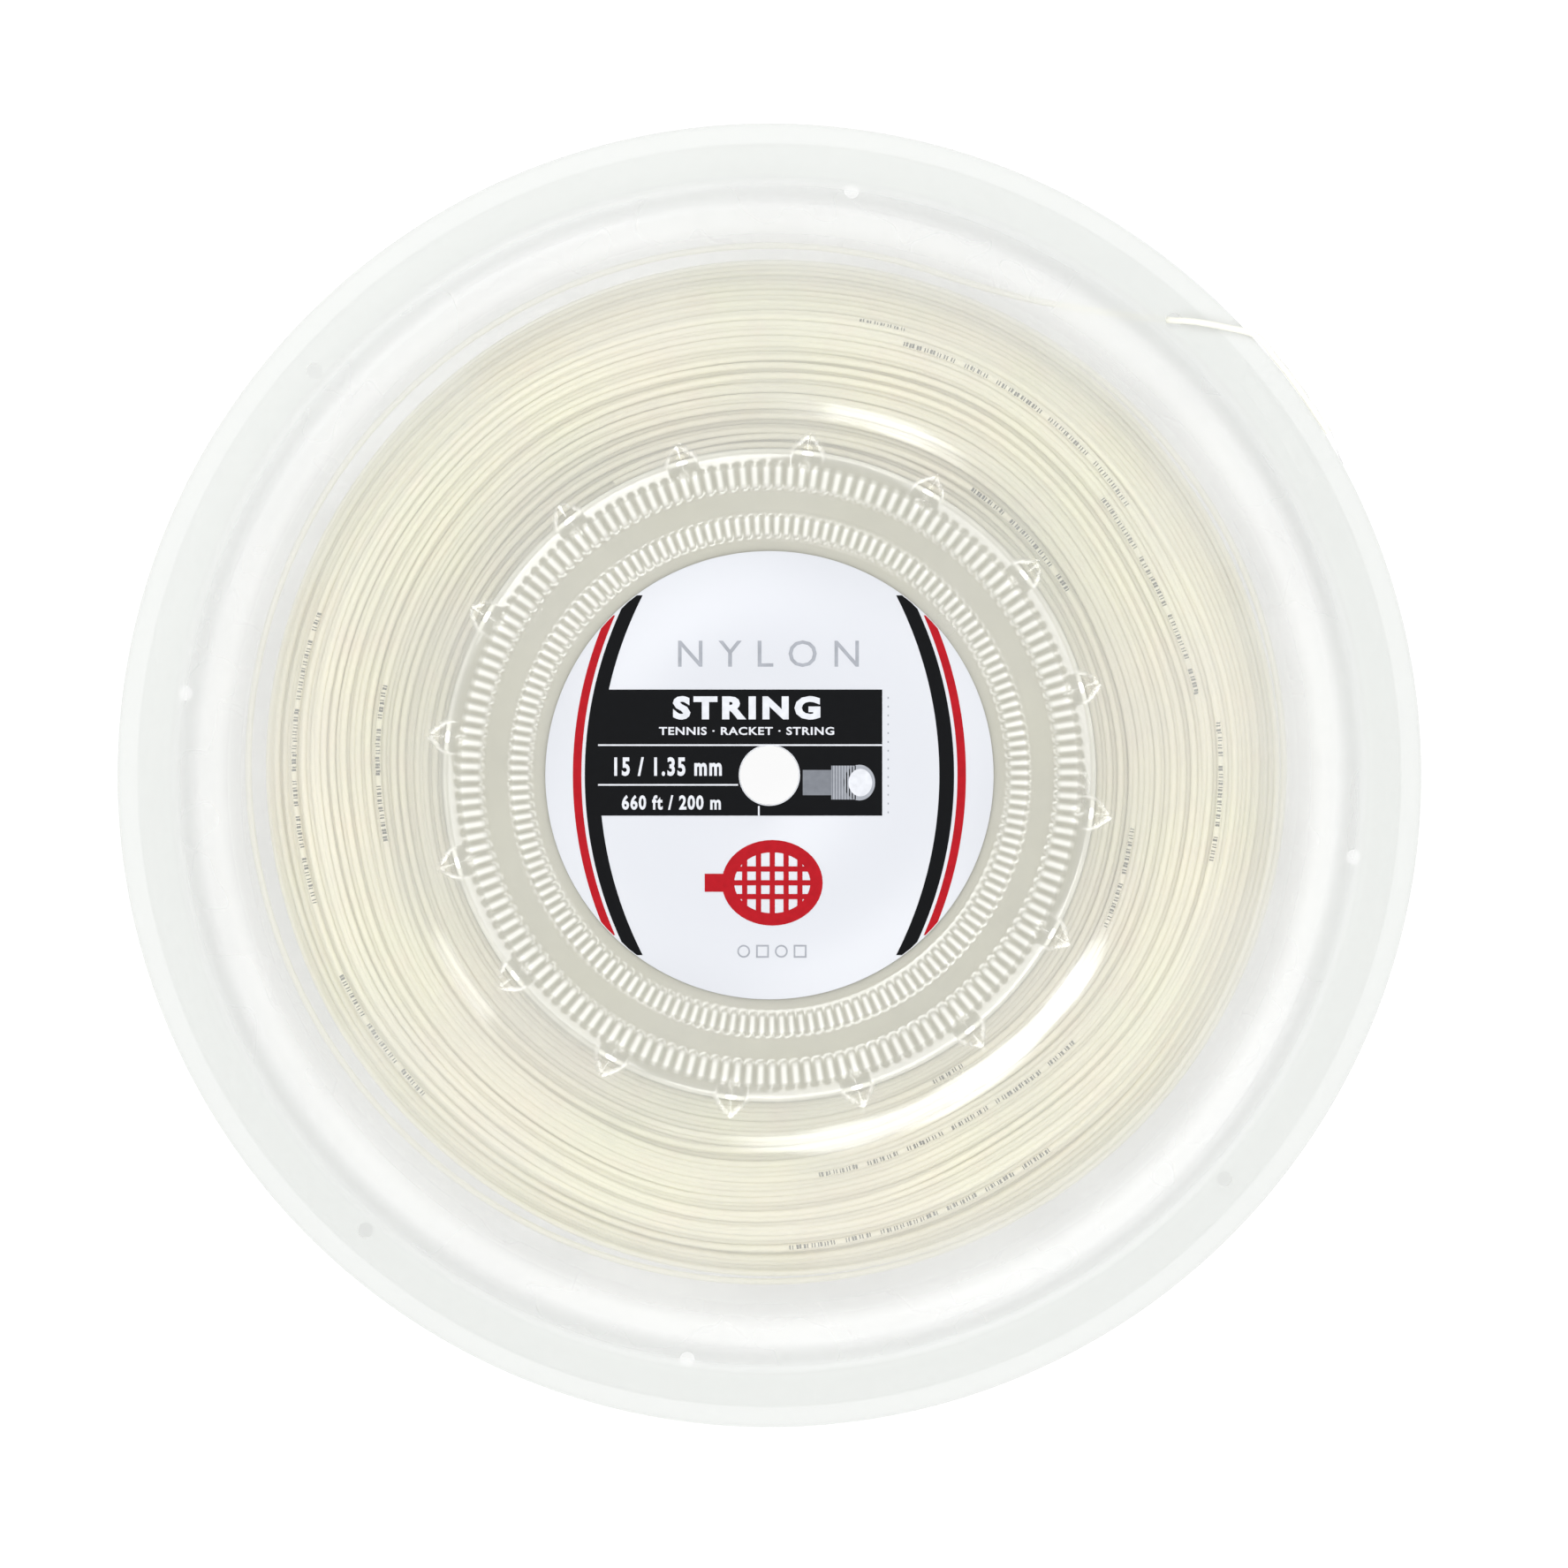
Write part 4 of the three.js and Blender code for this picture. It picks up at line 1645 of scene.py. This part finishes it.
    def emblem(self) -> None:
        """Print a plain red racket head: an oval frame strung with a wide grid, and its throat."""
        red = InkTone.RED
        x0, y0 = 0.6, -22.6
        half_x, half_y, frame_width, strand = 10.6, 9.0, 2.6, 0.55
        self.ring_arc(red, (x0, y0), (half_x, half_y), frame_width)
        bed_x, bed_y = half_x - frame_width + 0.4, half_y - frame_width + 0.4
        for k in range(-2, 3):
            away = 2.9 * k
            reach = bed_y * math.sqrt(1 - (away / bed_x) ** 2)
            self.bar(red, x0 + away - strand, y0 - reach, x0 + away + strand, y0 + reach, 1.5)
            if abs(k) < 2:
                reach = bed_x * math.sqrt(1 - (away / bed_y) ** 2)
                self.bar(red, x0 - reach, y0 + away - strand, x0 + reach, y0 + away + strand, 2)
        self.bar(red, x0 - half_x - 3.6, y0 - 1.9, x0 - half_x + 0.6, y0 + 1.9, 1.5)

    def symbols(self) -> None:
        """Print four tiny grey shapes at the foot."""
        y, half, line = -37.0, 1.35, 0.35
        tone = InkTone.SILVER
        for k in range(4):
            x = -5.4 + 3.95 * k
            if k % 2 == 0:
                self.ring_arc(tone, (x, y), (half, half), line)
                continue
            for far in (half, line - half):
                self.bar(tone, x - half, y + far - line, x + half, y + far)
                self.bar(tone, x + far - line, y - half + line, x + far, y + half - line)

    def build(self, card: bpy.types.Material, inks: Mapping[InkTone, bpy.types.Material]) -> None:
        """Make the disc and its print, and place both.

        Args:
            card: The card's material.
            inks: Material of each ink.
        """
        disc = self.build_disc()
        self.lay_out()
        made = [(disc, card, (f"{self.side.value}_label",))]
        for tone, parts in self.pieces.items():
            name = f"{self.side.value}_label_ink_{tone.name.lower()}"
            made.append((join(name, parts), inks[tone], ()))
        turn = Matrix.Rotation(math.pi, 4, "X") if self.side is Side.BACK else Matrix.Identity(4)
        for piece, material, nodes in made:
            piece.data.transform(Matrix.Translation((0, 0, self.middle * MM)) @ turn)
            place(piece, Slot.COATED_CARD, material, nodes)


# ---------------------------------------------------------------- studio


@dataclass
class Studio:
    """Camera straight above the reel's axis, white table, soft boxes and a pale surround."""

    top: float  # m, front rim plane
    view_width: float = 0.3247  # m across the frame at the front rim plane
    distance: float = 1.24  # m above the front rim plane
    sensor: float = 36.0

    def build_camera(self) -> None:
        """Set the camera above the axis, looking down with +Y up."""
        data = bpy.data.cameras.new("camera")
        data.sensor_width = self.sensor
        data.lens = self.sensor * self.distance / self.view_width
        data.shift_x = 0.0093
        data.shift_y = -0.0056
        camera = bpy.data.objects.new("camera", data)
        camera.location = (0, 0, self.top + self.distance)
        bpy.context.scene.collection.objects.link(camera)
        bpy.context.scene.camera = camera

    def build_floor(self) -> None:
        """Lay the table under the back rim."""
        half = 1500.0
        points = [(-half, -half, -0.3), (half, -half, -0.3), (half, half, -0.3), (-half, half, -0.3)]
        floor = mesh_object("table", points, [(0, 1, 2, 3)])
        floor.data.materials.append(StudioFloor().build())

    def soft_box(self, name: str, azimuth: float, tilt: float, size: tuple[float, float], power: float) -> None:
        """Hang a rectangular soft light.

        Args:
            name: Its name.
            azimuth: Its direction from the axis, degrees from +X.
            tilt: Its angle from the vertical, degrees.
            size: Width and height in m.
            power: In watts.
        """
        reach = 1.5
        lean, turn = math.radians(tilt), math.radians(azimuth)
        data = bpy.data.lights.new(name, "AREA")
        data.shape = "RECTANGLE"
        data.size, data.size_y = size
        data.energy = power
        lamp = bpy.data.objects.new(name, data)
        away = Vector((math.sin(lean) * math.cos(turn), math.sin(lean) * math.sin(turn), math.cos(lean)))
        lamp.location = away * reach
        lamp.rotation_euler = away.to_track_quat("Z", "Y").to_euler()
        bpy.context.scene.collection.objects.link(lamp)

    def build_lights(self) -> None:
        """Light the reel from the upper left, with weaker boxes elsewhere."""
        self.soft_box("key_box", 136, 20.5, (0.18, 0.08), 0.38)
        self.soft_box("fill_box", 252, 20.5, (0.18, 0.1), 0.35)
        self.soft_box("side_box", 34, 20.5, (0.14, 0.1), 0.2)
        self.soft_box("wash_box", 118, 25, (1.1, 0.45), 8.0)
        for azimuth, share in ((300, 1.5), (30, 0.9), (120, 0.9), (210, 0.9)):
            self.soft_box(f"panel_{azimuth}", azimuth, 42, (1.2, 0.6), 9.8 * share)
        world = bpy.data.worlds.new("surround")
        bpy.context.scene.world = world
        world.use_nodes = True
        world.node_tree.nodes["Background"].inputs["Color"].default_value = (1.0, 1.0, 1.0, 1.0)
        world.node_tree.nodes["Background"].inputs["Strength"].default_value = 0.4
        bpy.context.scene.view_settings.view_transform = "Standard"


# ---------------------------------------------------------------- assembly


def build_shells(front: FormedShell, material: bpy.types.Material) -> None:
    """Make and place both shells.

    Args:
        front: The front shell's description, which the back one follows but for its tail holes.
        material: The sheet's material.
    """
    press = flute_tree()
    back = FormedShell(Side.BACK, front.rim, front.half, tail_hole_angle=-82.0)
    for shell in (front, back):
        made = shell.build(press, material)
        place(made, Slot.CLEAR_PET, material, (f"{shell.side.value}_shell",))


def main() -> None:
    """Build the reel piece by piece and report each one."""
    logging.basicConfig(level=logging.INFO, format="%(name)s: %(message)s")
    rim_box, back_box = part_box("front_shell"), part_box("back_shell")
    rim = rim_box[1].x / MM
    top = rim_box[1].z
    half = (top - back_box[0].z) / MM / 2
    middle = back_box[0].z / MM + half
    core_box, label_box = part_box("core_ring"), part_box("front_label")
    core_outer = core_box[1].x / MM

    studio = Studio(top)
    studio.build_camera()

    nylon = CoatedNylon().build()
    pet = FormedPet().build()
    tape = CloudyFilm("clear_acrylic_tape", "#e6e8e6", 0.02, 0.2, wrinkle=6.0, ior=1.08).build()
    milky = CloudyFilm("milky_polypropylene", "#f4f3ea", 0.9, 0.4).build()
    glue = CloudyFilm("hot_melt_glue", "#e6e2d2", 0.6, 0.3).build()
    card = CoatedCard().build()
    inks = {tone: PrintInk(tone).build() for tone in InkTone}

    shell = FormedShell(Side.FRONT, rim, half)
    winding = StringWinding(core_outer + 0.2, middle, shell)
    start = float(winding.outer(np.array(math.radians(winding.end_angle))))
    loose = LooseEnd(rim, middle, half, start)
    tail, length = loose.build_string()
    place(tail, Slot.NYLON_STRING, nylon, ("string_tail",))
    place(loose.build_tape(), Slot.CLEAR_TAPE, tape, ("tail_tape",))

    line = winding.path()
    stretches = winding.printed(line)
    for k, piece in enumerate(winding.build(line, sweep_tree(), nylon)):
        place(piece, Slot.NYLON_STRING, nylon, ("string_winding",) if k == 0 else ())
    marks = winding.print_marks(line, stretches, scatter_tree(), inks[InkTone.OLIVE])
    place(marks, Slot.NYLON_STRING, inks[InkTone.OLIVE])

    build_shells(shell, pet)

    core_half = (core_box[1].z - core_box[0].z) / MM / 2
    hub = Hub(middle, core_outer - 1.0, core_outer, core_half)
    place(hub.build_core(), Slot.MILKY_PLASTIC, milky, ("core_ring",))
    place(hub.build_glue(), Slot.GLUE, glue, ("hub_bond",))
    place(hub.build_start_tape(), Slot.CLEAR_TAPE, tape, ("start_tape",))

    for side in Side:
        label = Label(side, label_box[1].x / MM, label_box[1].z / MM - middle, middle)
        label.build(card, inks)

    studio.build_floor()
    studio.build_lights()


if __name__ == "__main__":
    main()
